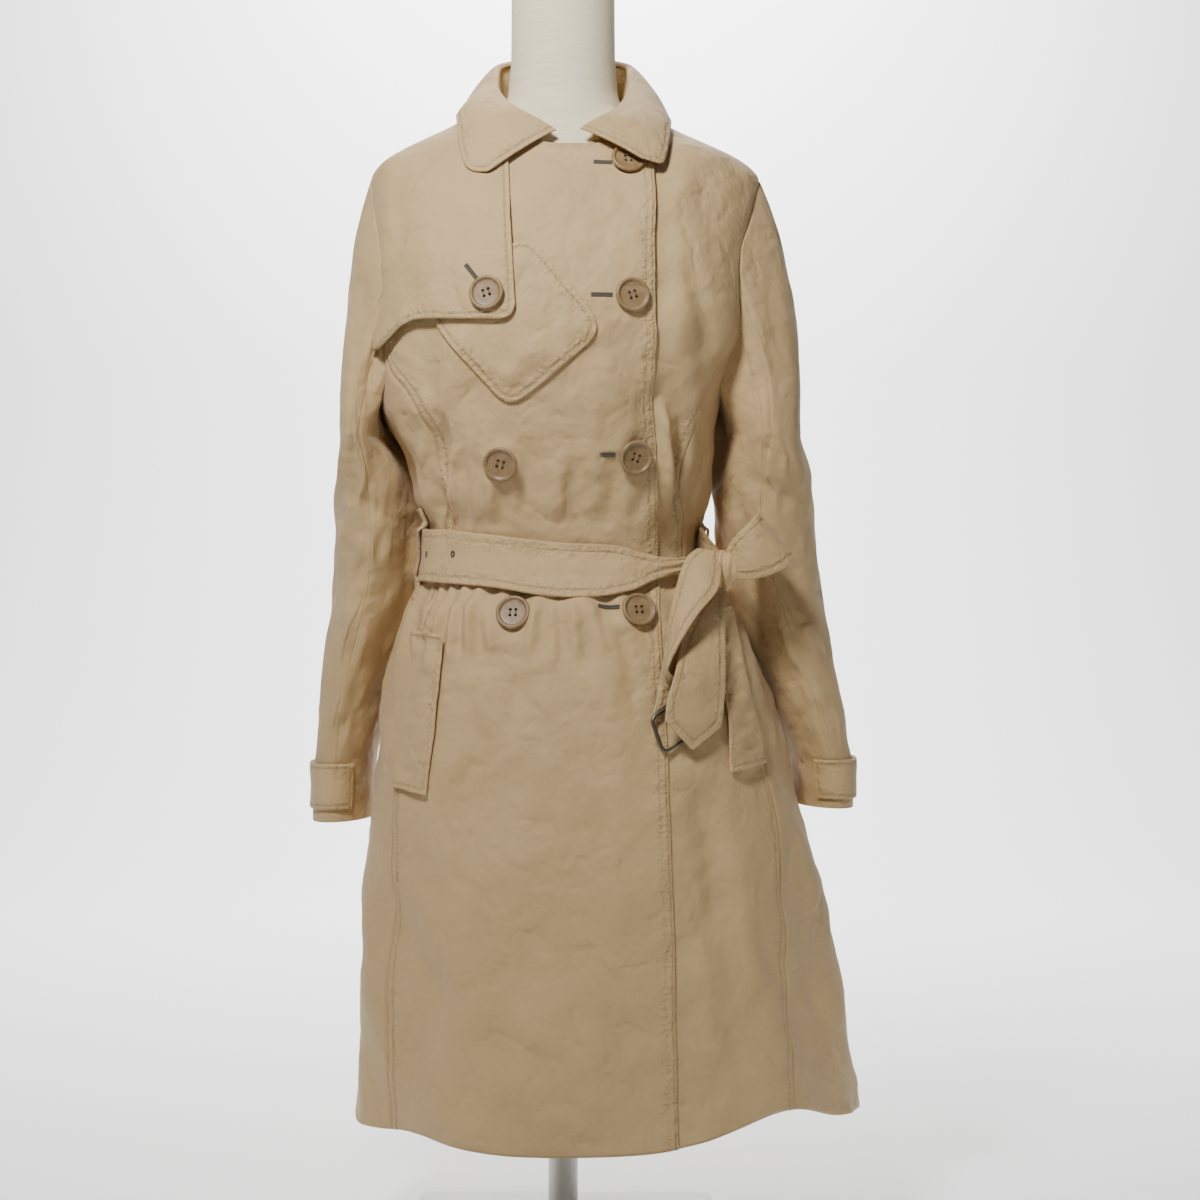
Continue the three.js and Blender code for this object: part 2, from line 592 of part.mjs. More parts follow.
function backPlaces(count) {
  const places = ROWS.map((z) => {
    const from = backSeamAngle(-1, z) - (SEAM_GAP * 0.8) / halfWidth(z);
    const to = backSeamAngle(1, z) - 2 * Math.PI + (SEAM_GAP * 0.8) / halfWidth(z);
    return span(count, (t, i) => [mix(from, to, t), z, gathers(i, count, z, 1)]);
  });
  const shares = [0, ...UPPER_ROWS];
  const edge = (side) => shares.map((v) => {
    const z = mix(PRINCESS_TOP, SHOULDER_TIP, v);
    return [middle(z) + side * halfWidth(z) * armhole.back(z), z];
  });
  const bottom = places.at(-1).map(([angle, z]) => [sectionPoint(coat, angle, z).x, z]);
  const start = edge(-1);
  const end = edge(1);
  start[0] = bottom[0];
  end[0] = bottom.at(-1);
  const top = span(count, (_, i) => {
    if (i <= SHOULDER_STEPS) return shoulderPlace(-1, i / SHOULDER_STEPS);
    if (i >= count - SHOULDER_STEPS) return shoulderPlace(1, (count - i) / SHOULDER_STEPS);
    return backNeckPlace((i - SHOULDER_STEPS) / (count - 2 * SHOULDER_STEPS));
  });
  const upper = patch(bottom, top, start, end, shares).slice(1);
  return [...places, ...upper.map((row) => row.map(([x, z], i) => {
    const last = row === upper.at(-1);
    if (last && i <= SHOULDER_STEPS) return [-Math.PI / 2 - 0.004, z];
    if (last && i >= count - SHOULDER_STEPS) return [-1.5 * Math.PI + 0.004, z];
    return [angleAt(x, z, true), z];
  }))];
}

const lift = (rows, height) => rows.map((row) => row.map(([angle, z, more = 0]) => (
  onCoat(angle, z + hemLift(angle, z), more + height)
)));

// A piece that lies on the front, from a grid of [x, z] places and a function of its height there.
function onFront(places, height, thickness) {
  const rows = places.map((row) => row.map(([x, z]) => [angleAt(x, z), z, height(x, z)]));
  return wall(lift(rows, thickness), lift(rows, 0));
}

// The five panels of the body. Columns are closest together where the gathers are.
const OVER_SHARES = [
  0, 0.035, 0.07, 0.11, 0.15, 0.19, 0.23, 0.27, 0.31, 0.36,
  0.42, 0.49, 0.56, 0.63, 0.7, 0.77, 0.84, 0.92, 1,
];
const over = overPlaces(OVER_SHARES);
const under = underPlaces(over, 4);
const sideR = sidePlaces(-1, 10);
const sideL = sidePlaces(1, 10);
const back = backPlaces(22);
const cloth = (rows) => wall(lift(rows, CLOTH), lift(rows, 0));
add("front_right", cloth(over));
add("front_left", cloth(under));
add("side_right", cloth(sideR));
add("side_left", cloth(sideL));
add("back", cloth(back));

// Sleeve sections from under the arm to the cuff: its middle, half width, half depth, swing and creases
const SLEEVE_R = [
  { z: 765, x: -187, y: 8, half: 21, deep: 78, swing: 3, crease: 0 },
  { z: 733, x: -182, y: 12, half: 31, deep: 72, swing: 5, crease: 1.5 },
  { z: 700, x: -180, y: 18, half: 36, deep: 66, swing: 7, crease: -1.5 },
  { z: 660, x: -180, y: 22, half: 38, deep: 61, swing: 8, crease: 2 },
  { z: 620, x: -184, y: 26, half: 37, deep: 59, swing: 8, crease: -1.5 },
  { z: 575, x: -193, y: 29, half: 32, deep: 60, swing: 9, crease: 1.5 },
  { z: 530, x: -201, y: 32, half: 28, deep: 60, swing: 10, crease: -1 },
  { z: 492, x: -206, y: 33, half: 27, deep: 59, swing: 10, crease: 1 },
  { z: 459, x: -210, y: 33, half: 26, deep: 57, swing: 10, crease: 0 },
  { z: 437, x: -211, y: 33, half: 26, deep: 56, swing: 10, crease: 0 },
  { z: 416, x: -212, y: 33, half: 26, deep: 56, swing: 10, crease: 0 },
  { z: 404, x: -212, y: 33, half: 26, deep: 56, swing: 10, crease: 0 },
];
const SLEEVE_L = [
  { z: 765, x: 190, y: 8, half: 35, deep: 74, swing: 3, crease: 0 },
  { z: 733, x: 191, y: 10, half: 43, deep: 66, swing: 4, crease: 1.5 },
  { z: 700, x: 191, y: 13, half: 46, deep: 60, swing: 5, crease: -1.5 },
  { z: 660, x: 195, y: 17, half: 47, deep: 56, swing: 6, crease: 2 },
  { z: 620, x: 204, y: 21, half: 43, deep: 56, swing: 8, crease: -1.5 },
  { z: 575, x: 216, y: 25, half: 38, deep: 57, swing: 10, crease: 1.5 },
  { z: 530, x: 229, y: 29, half: 32, deep: 58, swing: 12, crease: -1 },
  { z: 492, x: 238, y: 31, half: 29, deep: 58, swing: 13, crease: 1 },
  { z: 463, x: 246, y: 32, half: 26.5, deep: 56, swing: 14, crease: 0 },
  { z: 445, x: 248, y: 32, half: 26, deep: 56, swing: 14, crease: 0 },
  { z: 426, x: 249, y: 32, half: 25, deep: 55, swing: 14, crease: 0 },
  { z: 417, x: 249, y: 32, half: 24.5, deep: 55, swing: 14, crease: 0 },
];
// The upper sleeve reaches this many degrees to each side of its outer line
const UPPER_TURN = 105;
const CAP_COLUMNS = 12;
const CAP_SHARES = [0, 0.12, 0.3, 0.55, 0.8];
const CAP_OUT = { right: 0.34, left: 0.46 };
const SLEEVE_START = 0.6;
const STRAP_ROWS = { from: CAP_SHARES.length + 8, to: CAP_SHARES.length + 11 };
const STRAP_FRONT = -2;
const STRAP_STAND = 3;
const STRAP_REACH = 3.5;

const outerCloth = (rows) => lift(rows, CLOTH);
const upperRows = (rows) => rows.slice(ROWS.length - 1);
const scoopOf = (rows) => outerCloth(rows).at(-1);
const firstColumn = (rows) => upperRows(outerCloth(rows)).map((row) => row[0]);
const lastColumn = (rows) => upperRows(outerCloth(rows)).map((row) => row.at(-1));
addSleeve("right", -1, armholeRing(firstColumn(over), firstColumn(back), scoopOf(sideR)), SLEEVE_R);
addSleeve("left", 1, armholeRing(firstColumn(under), lastColumn(back), scoopOf(sideL)), SLEEVE_L);

// The collar from the right front round the back to the left front: its roll and the leaf's edge
const COLLAR = [
  { at: 0, rollX: -5, rollY: -73, rollZ: 1043, edgeX: -70, edgeY: -92, edgeZ: 1001 },
  { at: 0.8, rollX: -20, rollY: -70, rollZ: 1052, edgeX: -88, edgeY: -81, edgeZ: 1009 },
  { at: 1.6, rollX: -38, rollY: -60, rollZ: 1064, edgeX: -95, edgeY: -67, edgeZ: 1031 },
  { at: 2.4, rollX: -53, rollY: -40, rollZ: 1078, edgeX: -98, edgeY: -48, edgeZ: 1053 },
  { at: 3.3, rollX: -65, rollY: -13, rollZ: 1100, edgeX: -101, edgeY: -13, edgeZ: 1070 },
  { at: 4.5, rollX: -67, rollY: 20, rollZ: 1124, edgeX: -99, edgeY: 28, edgeZ: 1074 },
  { at: 5.8, rollX: -51, rollY: 52, rollZ: 1138, edgeX: -74, edgeY: 68, edgeZ: 1080 },
  { at: 7, rollX: 0, rollY: 68, rollZ: 1145, edgeX: 0, edgeY: 90, edgeZ: 1086 },
  { at: 8.2, rollX: 51, rollY: 52, rollZ: 1138, edgeX: 74, edgeY: 68, edgeZ: 1080 },
  { at: 9.5, rollX: 67, rollY: 20, rollZ: 1124, edgeX: 100, edgeY: 28, edgeZ: 1072 },
  { at: 10.7, rollX: 66, rollY: -13, rollZ: 1100, edgeX: 103, edgeY: -12, edgeZ: 1065 },
  { at: 11.6, rollX: 58, rollY: -38, rollZ: 1078, edgeX: 101, edgeY: -44, edgeZ: 1048 },
  { at: 12.4, rollX: 47, rollY: -57, rollZ: 1064, edgeX: 98, edgeY: -64, edgeZ: 1028 },
  { at: 13.2, rollX: 32, rollY: -68, rollZ: 1054, edgeX: 93, edgeY: -79, edgeZ: 1012 },
  { at: 14, rollX: 17, rollY: -75, rollZ: 1044, edgeX: 81, edgeY: -91, edgeZ: 1009 },
];
const COLLAR_STEPS = 28;
const FALL_STEPS = 5;
const FALL_BULGE = 11;

const collar = columns(COLLAR, ["rollX", "rollY", "rollZ", "edgeX", "edgeY", "edgeZ"], "at");

function collarPoints(at) {
  const roll = new THREE.Vector3(collar.rollX(at), collar.rollY(at), collar.rollZ(at));
  const edge = new THREE.Vector3(collar.edgeX(at), collar.edgeY(at), collar.edgeZ(at));
  const out = new THREE.Vector3(roll.x, roll.y, 0).normalize().add(new THREE.Vector3(0, 0, 0.8)).normalize();
  const towardsEnd = Math.min(at, COLLAR.length - 1 - at);
  const bulge = FALL_BULGE * Math.min(1, 0.3 + towardsEnd);
  return { roll, edge, control: roll.clone().lerp(edge, 0.4).addScaledVector(out, bulge) };
}

// The neckline seen from above, as the places where the collar's stand is sewn on.
function neckPoint(t) {
  const quarter = t * 4;
  if (quarter < 1) return toNeck(frontNeckPlace(-1, 1 - quarter), false);
  if (quarter > 3) return toNeck(frontNeckPlace(1, quarter - 3), false);
  return toNeck(backNeckPlace((quarter - 1) / 2), true);
}
const toNeck = ([x, z], behind) => {
  const seam = onCoat(angleAt(x, z, behind), z, CLOTH);
  return seam.add(new THREE.Vector3(0, 0, NECK_SEAM));
};

const collarRows = (make) => span(COLLAR_STEPS, (t) => make(t));
const transpose = (grid) => grid[0].map((_, i) => grid.map((row) => row[i]));
const standGrid = transpose(collarRows((t) => {
  const { roll } = collarPoints(t * (COLLAR.length - 1));
  const inward = new THREE.Vector3(-roll.x, -roll.y, 0).setLength(STAND_IN);
  const top = roll.add(inward).add(new THREE.Vector3(0, 0, -STAND_DROP));
  const foot = neckPoint(THREE.MathUtils.clamp(t, STAND_OPEN, 1 - STAND_OPEN));
  return span(3, (v) => foot.clone().lerp(top, v));
}));
const fallGrid = transpose(collarRows((t) => {
  const { roll, edge, control } = collarPoints(t * (COLLAR.length - 1));
  return new THREE.QuadraticBezierCurve3(roll, control, edge).getPoints(FALL_STEPS);
}));
add("collar_stand", thickened(standGrid, LINED, -1));
add("collar_fall", thickened(fallGrid, LINED, 1));

// The flap on the right chest hangs from the shoulder seam, and its lower corner stands off.
const FLAP = { armZ: 842, cornerZ: 860, edgeX: -38, edgeUp: 12 };
// Its lower edge, from the armhole to the corner
const FLAP_EDGE = [
  { t: 0, x: -158, z: 842 },
  { t: 0.1, x: -148, z: 850 },
  { t: 0.2, x: -136, z: 860 },
  { t: 0.3, x: -124, z: 864 },
  { t: 0.6, x: -90, z: 862 },
  { t: 1, x: -44, z: 860 },
];
const FLAP_COLUMNS = 10;
const FLAP_SHARES = [0, 0.1, 0.24, 0.4, 0.56, 0.72, 0.86, 0.95, 1];
const flapEdge = columns(FLAP_EDGE, ["x", "z"], "t");
const flapPlaces = () => {
  const bottom = span(FLAP_COLUMNS, (t) => [flapEdge.x(t), flapEdge.z(t)]);
  const start = FLAP_SHARES.map((v) => {
    const z = mix(FLAP.armZ, SHOULDER_TIP - 3, v);
    return [middle(z) - halfWidth(z) * Math.min(armhole.front(z), 0.985) + 2.5, z];
  });
  start[0] = bottom[0];
  const top = span(FLAP_COLUMNS, (t) => {
    if (t <= 0.6) {
      const [x, z] = shoulderPlace(-1, t / 0.6);
      return [x * 0.985, z - 3];
    }
    const [x, z] = frontNeckPlace(-1, (FLAP_NECK * (t - 0.6)) / 0.4);
    return [x * 1.02, z - 4];
  });
  start[start.length - 1] = top[0];
  const corner = [FLAP.edgeX, FLAP.cornerZ + FLAP.edgeUp];
  const end = FLAP_SHARES.map((v) => corner.map((from, k) => mix(from, top.at(-1)[k], v)));
  end[0] = bottom.at(-1);
  return patch(bottom, top, start, end, FLAP_SHARES);
};
const flapHeight = (x, z) => {
  const low = 1 - smooth((z - FLAP.armZ) / 70);
  const arm = 1 - smooth((x - FLAP_EDGE[0].x) / 70);
  const overTab = smooth((978 - z) / 26) * smooth((x + 150) / 40);
  const shoulder = smooth((z - 1005) / 40) * smooth((-60 - x) / 20);
  const lifted = FLAP_LIFT * low * mix(0.35, 1, arm);
  return FLAP_UP + overTab * (LINED + LAYER_GAP) + lifted + FLAP_SHOULDER * shoulder;
};
add("gun_flap", onFront(flapPlaces(), flapHeight, LINED));

// The rounded square tab that closes the neck hangs turned, partly under the flap.
const TAB = { x: -39, z: 859.5, half: 56.5, turn: 40, square: 6 };
const tabPlaces = span(8, (v) => span(8, (u) => {
  const [a, b] = [2 * u - 1, 2 * v - 1];
  const longer = Math.max(Math.abs(a), Math.abs(b), 1e-9);
  const rounding = (1 + (Math.min(Math.abs(a), Math.abs(b)) / longer) ** TAB.square) ** (-1 / TAB.square);
  const across = TAB.half * a * rounding;
  const up = TAB.half * b * rounding;
  const [ahead, aside] = [Math.cos(radians(TAB.turn)), Math.sin(radians(TAB.turn))];
  return [TAB.x + across * ahead - up * aside, TAB.z + across * aside + up * ahead];
}));
add("chest_tab", onFront(tabPlaces, () => CLOTH + LAYER_GAP, LINED));

// Pocket welts between four corners: lower and upper, at the seam and towards the middle
const WELTS = [
  { name: "right", lowX: -116, lowZ: 438, lowSeamZ: 444, highX: -101, highZ: 579, highSeamZ: 583 },
  { name: "left", lowX: 148, lowZ: 458, lowSeamZ: 465, highX: 136, highZ: 601, highSeamZ: 604 },
];
for (const welt of WELTS) {
  const side = Math.sign(welt.lowX);
  const seam = side < 0 ? seams.princessR : seams.princessL;
  const rows = span(7, (v) => {
    const seamZ = mix(welt.lowSeamZ, welt.highSeamZ, v);
    const z = mix(welt.lowZ, welt.highZ, v);
    return span(3, (u) => {
      const from = angleAt(seam(seamZ) - side * 1.5, seamZ);
      const to = angleAt(mix(welt.lowX, welt.highX, v), z);
      return [mix(from, to, u), mix(seamZ, z, u), WELT_UP + 2.5 * v * v];
    });
  });
  add(`pocket_welt_${welt.name}`, wall(lift(rows, LINED), lift(rows, 0)));
}

// The belt's two edges on the coat, from the knot over the front and round the back to the knot again
const BELT = [
  { at: -309, low: 653, high: 664, off: 12 },
  { at: -298, low: 645, high: 674, off: 5 },
  { at: -284, low: 635, high: 682, off: 0.4 },
  { at: -255, low: 630, high: 682, off: 0 },
  { at: -180, low: 630, high: 682, off: 0 },
  { at: -90, low: 629, high: 681, off: 0 },
  { at: -60, low: 627, high: 679, off: 0 },
  { at: -30, low: 623, high: 674, off: 0 },
  { at: 3, low: 613, high: 665, off: 0 },
  { at: 20, low: 618, high: 663, off: 0 },
  { at: 33, low: 627, high: 655, off: 1 },
  { at: 44, low: 631, high: 648, off: 4 },
  { at: 54, low: 634, high: 646, off: 11.5 },
];
const beltEdges = columns(BELT, ["low", "high", "off"], "at");
const beltAngle = (t) => mix(BELT[0].at, BELT.at(-1).at, t);
const beltRow = (v, rise) => span(BELT_STEPS, (t) => {
  const at = beltAngle(t);
  const z = mix(beltEdges.low(at), beltEdges.high(at), v);
  return [radians(at), z, BELT_UP + beltEdges.off(at) + rise * Math.sin(Math.PI * v)];
});
const belt = span(3, (v) => beltRow(v, BELT_RISE));
add("belt_band", wall(lift(belt, BELT_THICK), lift(belt, 0)));

// Carriers hold the belt at the sides: each runs from under its lower edge to above its upper edge.
for (const [name, at] of [["right", -78], ["left", -276]]) {
  const turn = (u) => radians(at + mix(-CARRIER_HALF, CARRIER_HALF, u));
  const rows = CARRIER.map(({ z, up }) => span(2, (u) => [turn(u), z, up]));
  add(`belt_carrier_${name}`, wall(lift(rows, LINED), lift(rows, 0)));
}

// Loose lengths of the belt by their two edges, from the knot outwards
const BUCKLE_TAIL = [
  { ax: 122, ay: -74, az: 657, bx: 142.4, by: -70, bz: 653, bow: 2 },
  { ax: 113, ay: -81, az: 649, bx: 141, by: -84, bz: 640, bow: 4 },
  { ax: 105, ay: -89, az: 628, bx: 138, by: -102, bz: 621, bow: 6 },
  { ax: 98, ay: -106, az: 600, bx: 122, by: -122, bz: 600, bow: 6 },
  { ax: 94, ay: -116, az: 572, bx: 104, by: -138, bz: 573, bow: 5 },
  { ax: 90, ay: -127, az: 548, bx: 95, by: -144, bz: 552, bow: 4 },
  { ax: 85, ay: -134, az: 526, bx: 110, by: -126, bz: 540, bow: 1 },
  { ax: 81.5, ay: -138, az: 513, bx: 127, by: -114, bz: 541, bow: 0 },
];
const POINT_TAIL = [
  { ax: 132, ay: -74, az: 621.4, bx: 152, by: -67, bz: 622.9, bow: 2 },
  { ax: 121, ay: -92, az: 603, bx: 148, by: -80, bz: 606, bow: 3 },
  { ax: 108, ay: -114, az: 577, bx: 148, by: -92, bz: 577, bow: 4 },
  { ax: 101, ay: -140.2, az: 549, bx: 147, by: -114, bz: 544, bow: 4 },
  { ax: 94, ay: -148, az: 525, bx: 145, by: -122, bz: 520, bow: 3 },
  { ax: 92, ay: -149, az: 508, bx: 143, by: -126, bz: 503, bow: 2 },
];
const TAIL_TIP = 24;
const LOOP = [
  { ax: 166, ay: -73, az: 640, bx: 163, by: -73, bz: 652, bow: 1 },
  { ax: 180, ay: -81, az: 641, bx: 164, by: -81, bz: 666, bow: 3 },
  { ax: 194, ay: -85, az: 648, bx: 168, by: -85, bz: 683, bow: 3 },
  { ax: 206, ay: -81, az: 655, bx: 179, by: -81, bz: 692, bow: 1 },
  { ax: 210, ay: -73, az: 657, bx: 183, by: -73, bz: 695, bow: 0 },
  { ax: 206, ay: -65, az: 655, bx: 179, by: -65, bz: 692, bow: -1 },
  { ax: 192, ay: -60, az: 646, bx: 168, by: -60, bz: 681, bow: -2 },
  { ax: 179, ay: -60, az: 640, bx: 164, by: -60, bz: 665, bow: -1 },
  { ax: 166, ay: -64, az: 640, bx: 162.8, by: -64, bz: 651, bow: 0 },
];
const RIBBON_COLUMNS = 4;
const towardsView = new THREE.Vector3(0, -1, 0);

function ribbonGrid(rows) {
  return rows.map((row) => span(RIBBON_COLUMNS, (u) => {
    const p = new THREE.Vector3(row.ax, row.ay, row.az).lerp(new THREE.Vector3(row.bx, row.by, row.bz), u);
    return p.addScaledVector(towardsView, row.bow * Math.sin(Math.PI * u));
  }));
}
const ribbon = (grid) => {
  const normals = gridNormals(grid);
  return wall(raised(grid, normals, BELT_THICK / 2), raised(grid, normals, -BELT_THICK / 2));
};
add("belt_tail_buckle", ribbon(ribbonGrid(BUCKLE_TAIL)));
const pointTail = ribbonGrid(POINT_TAIL);
const tipDown = new THREE.Vector3(-1, 2, -TAIL_TIP);
const tipShare = (i) => 1 - Math.abs(i - RIBBON_COLUMNS / 2) / (RIBBON_COLUMNS / 2);
const tipStart = new THREE.Vector3(0, 0, -1);
pointTail.push(pointTail.at(-1).map((p, i) => p.clone().add(tipStart).addScaledVector(tipDown, tipShare(i))));
add("belt_tail_point", ribbon(pointTail));
add("belt_loop", ribbon(ribbonGrid(LOOP)));

// The knot is a short turn of the belt round its own lengths.
const KNOT = { x: 152.5, y: -68, z: 641, deep: 8, tall: 11, half: 9, thick: 6 };
const knotRing = (out) => span(3, (v) => span(15, (t) => {
  const turn = 2 * Math.PI * (t * 15 / 16);
  const swell = 1 - 0.12 * (2 * v - 1) ** 2;
  return new THREE.Vector3(
    KNOT.x + KNOT.half * (2 * v - 1),
    KNOT.y - (KNOT.deep * swell + out) * Math.sin(turn),
    KNOT.z + (KNOT.tall * swell + out) * Math.cos(turn),
  );
}));
add("belt_knot", wall(knotRing(KNOT.thick), knotRing(0), true));

// The buckle: a flat frame of round bar with rounded corners, and the prong that lies across it
const STEEL_COLOUR = 0xb9b2a3;
// Three corners of the frame: below and above on the near side, and above on the far side
const BUCKLE = { low: [91, -141, 478], high: [80, -139, 509], far: [139.6, -117, 507], bar: 1.7 };
const PRONG_RADIUS = 1.1;
const buckleAt = (u, v) => {
  const [low, high, far] = [BUCKLE.low, BUCKLE.high, BUCKLE.far].map((p) => new THREE.Vector3(...p));
  return low.clone().addScaledVector(high.sub(low), v).addScaledVector(far.sub(low), u);
};
// A quarter of the frame's line, from the middle of one side to the middle of the next
const FRAME_QUARTER = [[0.5, 0], [0.88, 0], [0.97, 0.05], [1, 0.18], [1, 0.5]];
const halfFrame = [...FRAME_QUARTER, ...FRAME_QUARTER.slice(1, -1).reverse().map(([u, v]) => [u, 1 - v])];
const framePlaces = [...halfFrame, ...halfFrame.map(([u, v]) => [1 - u, 1 - v])];
const frameCurve = new THREE.CatmullRomCurve3(framePlaces.map(([u, v]) => buckleAt(u, v)), true);
add("buckle_frame", new THREE.TubeGeometry(frameCurve, 32, BUCKLE.bar, 6, true), STEEL_COLOUR, 0.35, 1);

const PRONG_LINE = [
  { v: 0.9, ahead: 2.6 },
  { v: 0.5, ahead: 3.2 },
  { v: 0.03, ahead: 3 },
];
const prongPath = new THREE.CatmullRomCurve3(PRONG_LINE.map(({ v, ahead }) => (
  buckleAt(0.5, v).addScaledVector(towardsView, ahead)
)));
const prong = new THREE.TubeGeometry(prongPath, 6, PRONG_RADIUS, 6, false);
add("buckle_prong", closedTube(prong, 6, 6), STEEL_COLOUR, 0.35, 1);

// Buttons, by their middle as seen from the front and how many layers lie under them
const BUTTONS = [
  { name: "left_1", x: 60, z: 1013, layers: 0, up: 0 },
  { name: "left_2", x: 63.5, z: 883, layers: 0, up: -0.8 },
  { name: "left_3", x: 65.5, z: 741, layers: 0, up: 0.9 },
  { name: "left_4", x: 69, z: 603, layers: 0, up: 1.2 },
  { name: "right_2", x: -62.5, z: 882, layers: 1, up: 0 },
  { name: "right_3", x: -51.5, z: 736, layers: 0, up: 0.4 },
  { name: "right_4", x: -42, z: 601, layers: 0, up: 0.2 },
];
// A button's profile from the middle of its back to the middle of its face: radius, height
const BUTTON_PROFILE = [[0, 0], [12, 0], [15.6, 1.8], [15.4, 3.6], [13.8, 4.4], [11.6, 2.9], [0, 2.6]];
const BUTTON_SIDES = 18;
const BUTTON_COLOUR = 0x7d6647;
for (const button of BUTTONS) {
  const angle = angleAt(button.x, button.z);
  const under = button.layers ? flapHeight(button.x, button.z) + LINED : CLOTH;
  const profile = BUTTON_PROFILE.map(([r, h]) => new THREE.Vector2(r, h));
  const turned = new THREE.LatheGeometry(profile, BUTTON_SIDES);
  const facing = new THREE.Quaternion();
  facing.setFromUnitVectors(new THREE.Vector3(0, 1, 0), formNormal(angle, button.z));
  const at = onCoat(angle, button.z, under + BUTTON_GAP + button.up);
  turned.applyQuaternion(facing).translate(at.x, at.y, at.z);
  add(`button_${button.name}`, turned, BUTTON_COLOUR, 0.4);
}

// The dress form: a limbless body, its neck, the cap on the neck, and the pole and plate that carry it
const FORM = [
  { z: 400, left: -120, right: 122, front: -92, back: 96, squareF: 2.1, squareB: 2.1 },
  { z: 440, left: -142, right: 145, front: -110, back: 116, squareF: 2.1, squareB: 2.1 },
  { z: 500, left: -146, right: 150, front: -116, back: 124, squareF: 2.1, squareB: 2.1 },
  { z: 570, left: -132, right: 137, front: -104, back: 106, squareF: 2.1, squareB: 2.1 },
  { z: 620, left: -115, right: 116, front: -90, back: 86, squareF: 2.1, squareB: 2.1 },
  { z: 656, left: -108, right: 108, front: -82, back: 78, squareF: 2.1, squareB: 2.1 },
  { z: 700, left: -112, right: 112, front: -90, back: 82, squareF: 2.1, squareB: 2.1 },
  { z: 760, left: -128, right: 126, front: -104, back: 94, squareF: 2.1, squareB: 2.1 },
  { z: 830, left: -148, right: 146, front: -115, back: 103, squareF: 2.1, squareB: 2.1 },
  { z: 880, left: -158, right: 158, front: -113, back: 106, squareF: 2.1, squareB: 2.1 },
  { z: 940, left: -166, right: 167, front: -103, back: 105, squareF: 2.1, squareB: 2.1 },
  { z: 985, left: -172, right: 173, front: -86, back: 94, squareF: 2, squareB: 2 },
];
const form = columns(FORM, ["left", "right", "front", "back", "squareF", "squareB"]);
const NECK_TOP = 1182;
const CAP_TOP = 1195;
const CAP_RADIUS = 49;
const POLE = { radius: 14, top: 400 };
const EDGE_BREAK = 1.5;
// The form's neck: height, half width, half depth
const NECK_ROWS = [[1088, 53, 49], [1104, 51, 48], [1125, 49.5, 48], [NECK_TOP, 49, 48]];
const FORM_COLUMNS = 24;
const around = (make) => span(FORM_COLUMNS - 1, (_, i) => make((2 * Math.PI * i) / FORM_COLUMNS));
const formRings = [
  ...FORM.map(({ z }) => around((turn) => sectionPoint(form, turn, z))),
  ...SHOULDER_ROWS.map((z) => around((turn) => {
    const under = mix(FORM_UNDER, FORM_TOUCH, Math.abs(Math.sin(turn)) ** RIDGE_POWER);
    return sectionPoint(coat, turn, z).addScaledVector(formNormal(turn, z), -under);
  })),
  ...NECK_ROWS.map(([z, half, deep]) => around((turn) => (
    new THREE.Vector3(half * Math.sin(turn), -deep * Math.cos(turn), z)
  ))),
];
const LINEN_COLOUR = 0xe2dccb;
add("form_torso", capped(formRings), LINEN_COLOUR, 0.9);

// A round bar that stands upright, its upper edge broken.
function bar(radius, low, high, count) {
  const ring = (z, r) => span(count - 1, (_, i) => {
    const turn = (2 * Math.PI * i) / count;
    return new THREE.Vector3(r * Math.sin(turn), -r * Math.cos(turn), z);
  });
  return capped([ring(low, radius), ring(high - EDGE_BREAK, radius), ring(high, radius - EDGE_BREAK)]);
}
add("neck_cap", bar(CAP_RADIUS, NECK_TOP, CAP_TOP, 28), 0x4a3524, 0.5);
add("pole", bar(POLE.radius, PLATE.thick, POLE.top, 24), 0x8c8c88, 0.35, 1);
const plateRing = (z, inset) => roundedSquare(PLATE.side / 2 - inset, PLATE.corner - inset, z);
const PLATE_RINGS = [[0, 1], [1, 0], [PLATE.thick - 1, 0], [PLATE.thick, 1]];
add("base_plate", capped(PLATE_RINGS.map(([z, inset]) => plateRing(z, inset))), 0xb5b4b0, 0.5, 1);

export default parts;
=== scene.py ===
"""A double-breasted trench coat on a limbless dress form, dressed over its CAD solids.

Laid out as a Blender add-on that runs as a script. Sizes are in millimetres until a mesh is made, and metres
after that. Left and right are the wearer's.
"""

import math

import bmesh
import bpy
import numpy as np
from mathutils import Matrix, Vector
from mathutils.kdtree import KDTree


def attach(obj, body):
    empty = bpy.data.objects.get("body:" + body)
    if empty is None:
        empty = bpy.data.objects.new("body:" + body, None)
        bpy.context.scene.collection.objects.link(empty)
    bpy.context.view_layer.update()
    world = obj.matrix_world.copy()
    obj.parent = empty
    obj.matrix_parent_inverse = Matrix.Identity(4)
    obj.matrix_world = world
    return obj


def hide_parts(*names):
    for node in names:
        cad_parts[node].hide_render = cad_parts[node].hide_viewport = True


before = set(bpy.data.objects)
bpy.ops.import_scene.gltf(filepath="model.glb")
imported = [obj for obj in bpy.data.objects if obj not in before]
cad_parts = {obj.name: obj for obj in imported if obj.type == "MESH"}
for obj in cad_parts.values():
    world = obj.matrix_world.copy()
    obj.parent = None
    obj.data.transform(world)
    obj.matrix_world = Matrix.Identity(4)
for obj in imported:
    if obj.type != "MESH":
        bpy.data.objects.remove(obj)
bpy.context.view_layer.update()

bl_info = {
    "name": "Trench coat",
    "version": (1, 0, 0),
    "blender": (4, 5, 0),
    "location": "View3D > Sidebar > Coat",
    "description": "Builds a belted trench coat on a dress form",
    "category": "Object",
}

MM = 0.001


def table(names, rows):
    """A short table as a dict of columns."""
    return dict(zip(names.split(), np.array(rows, float).T))


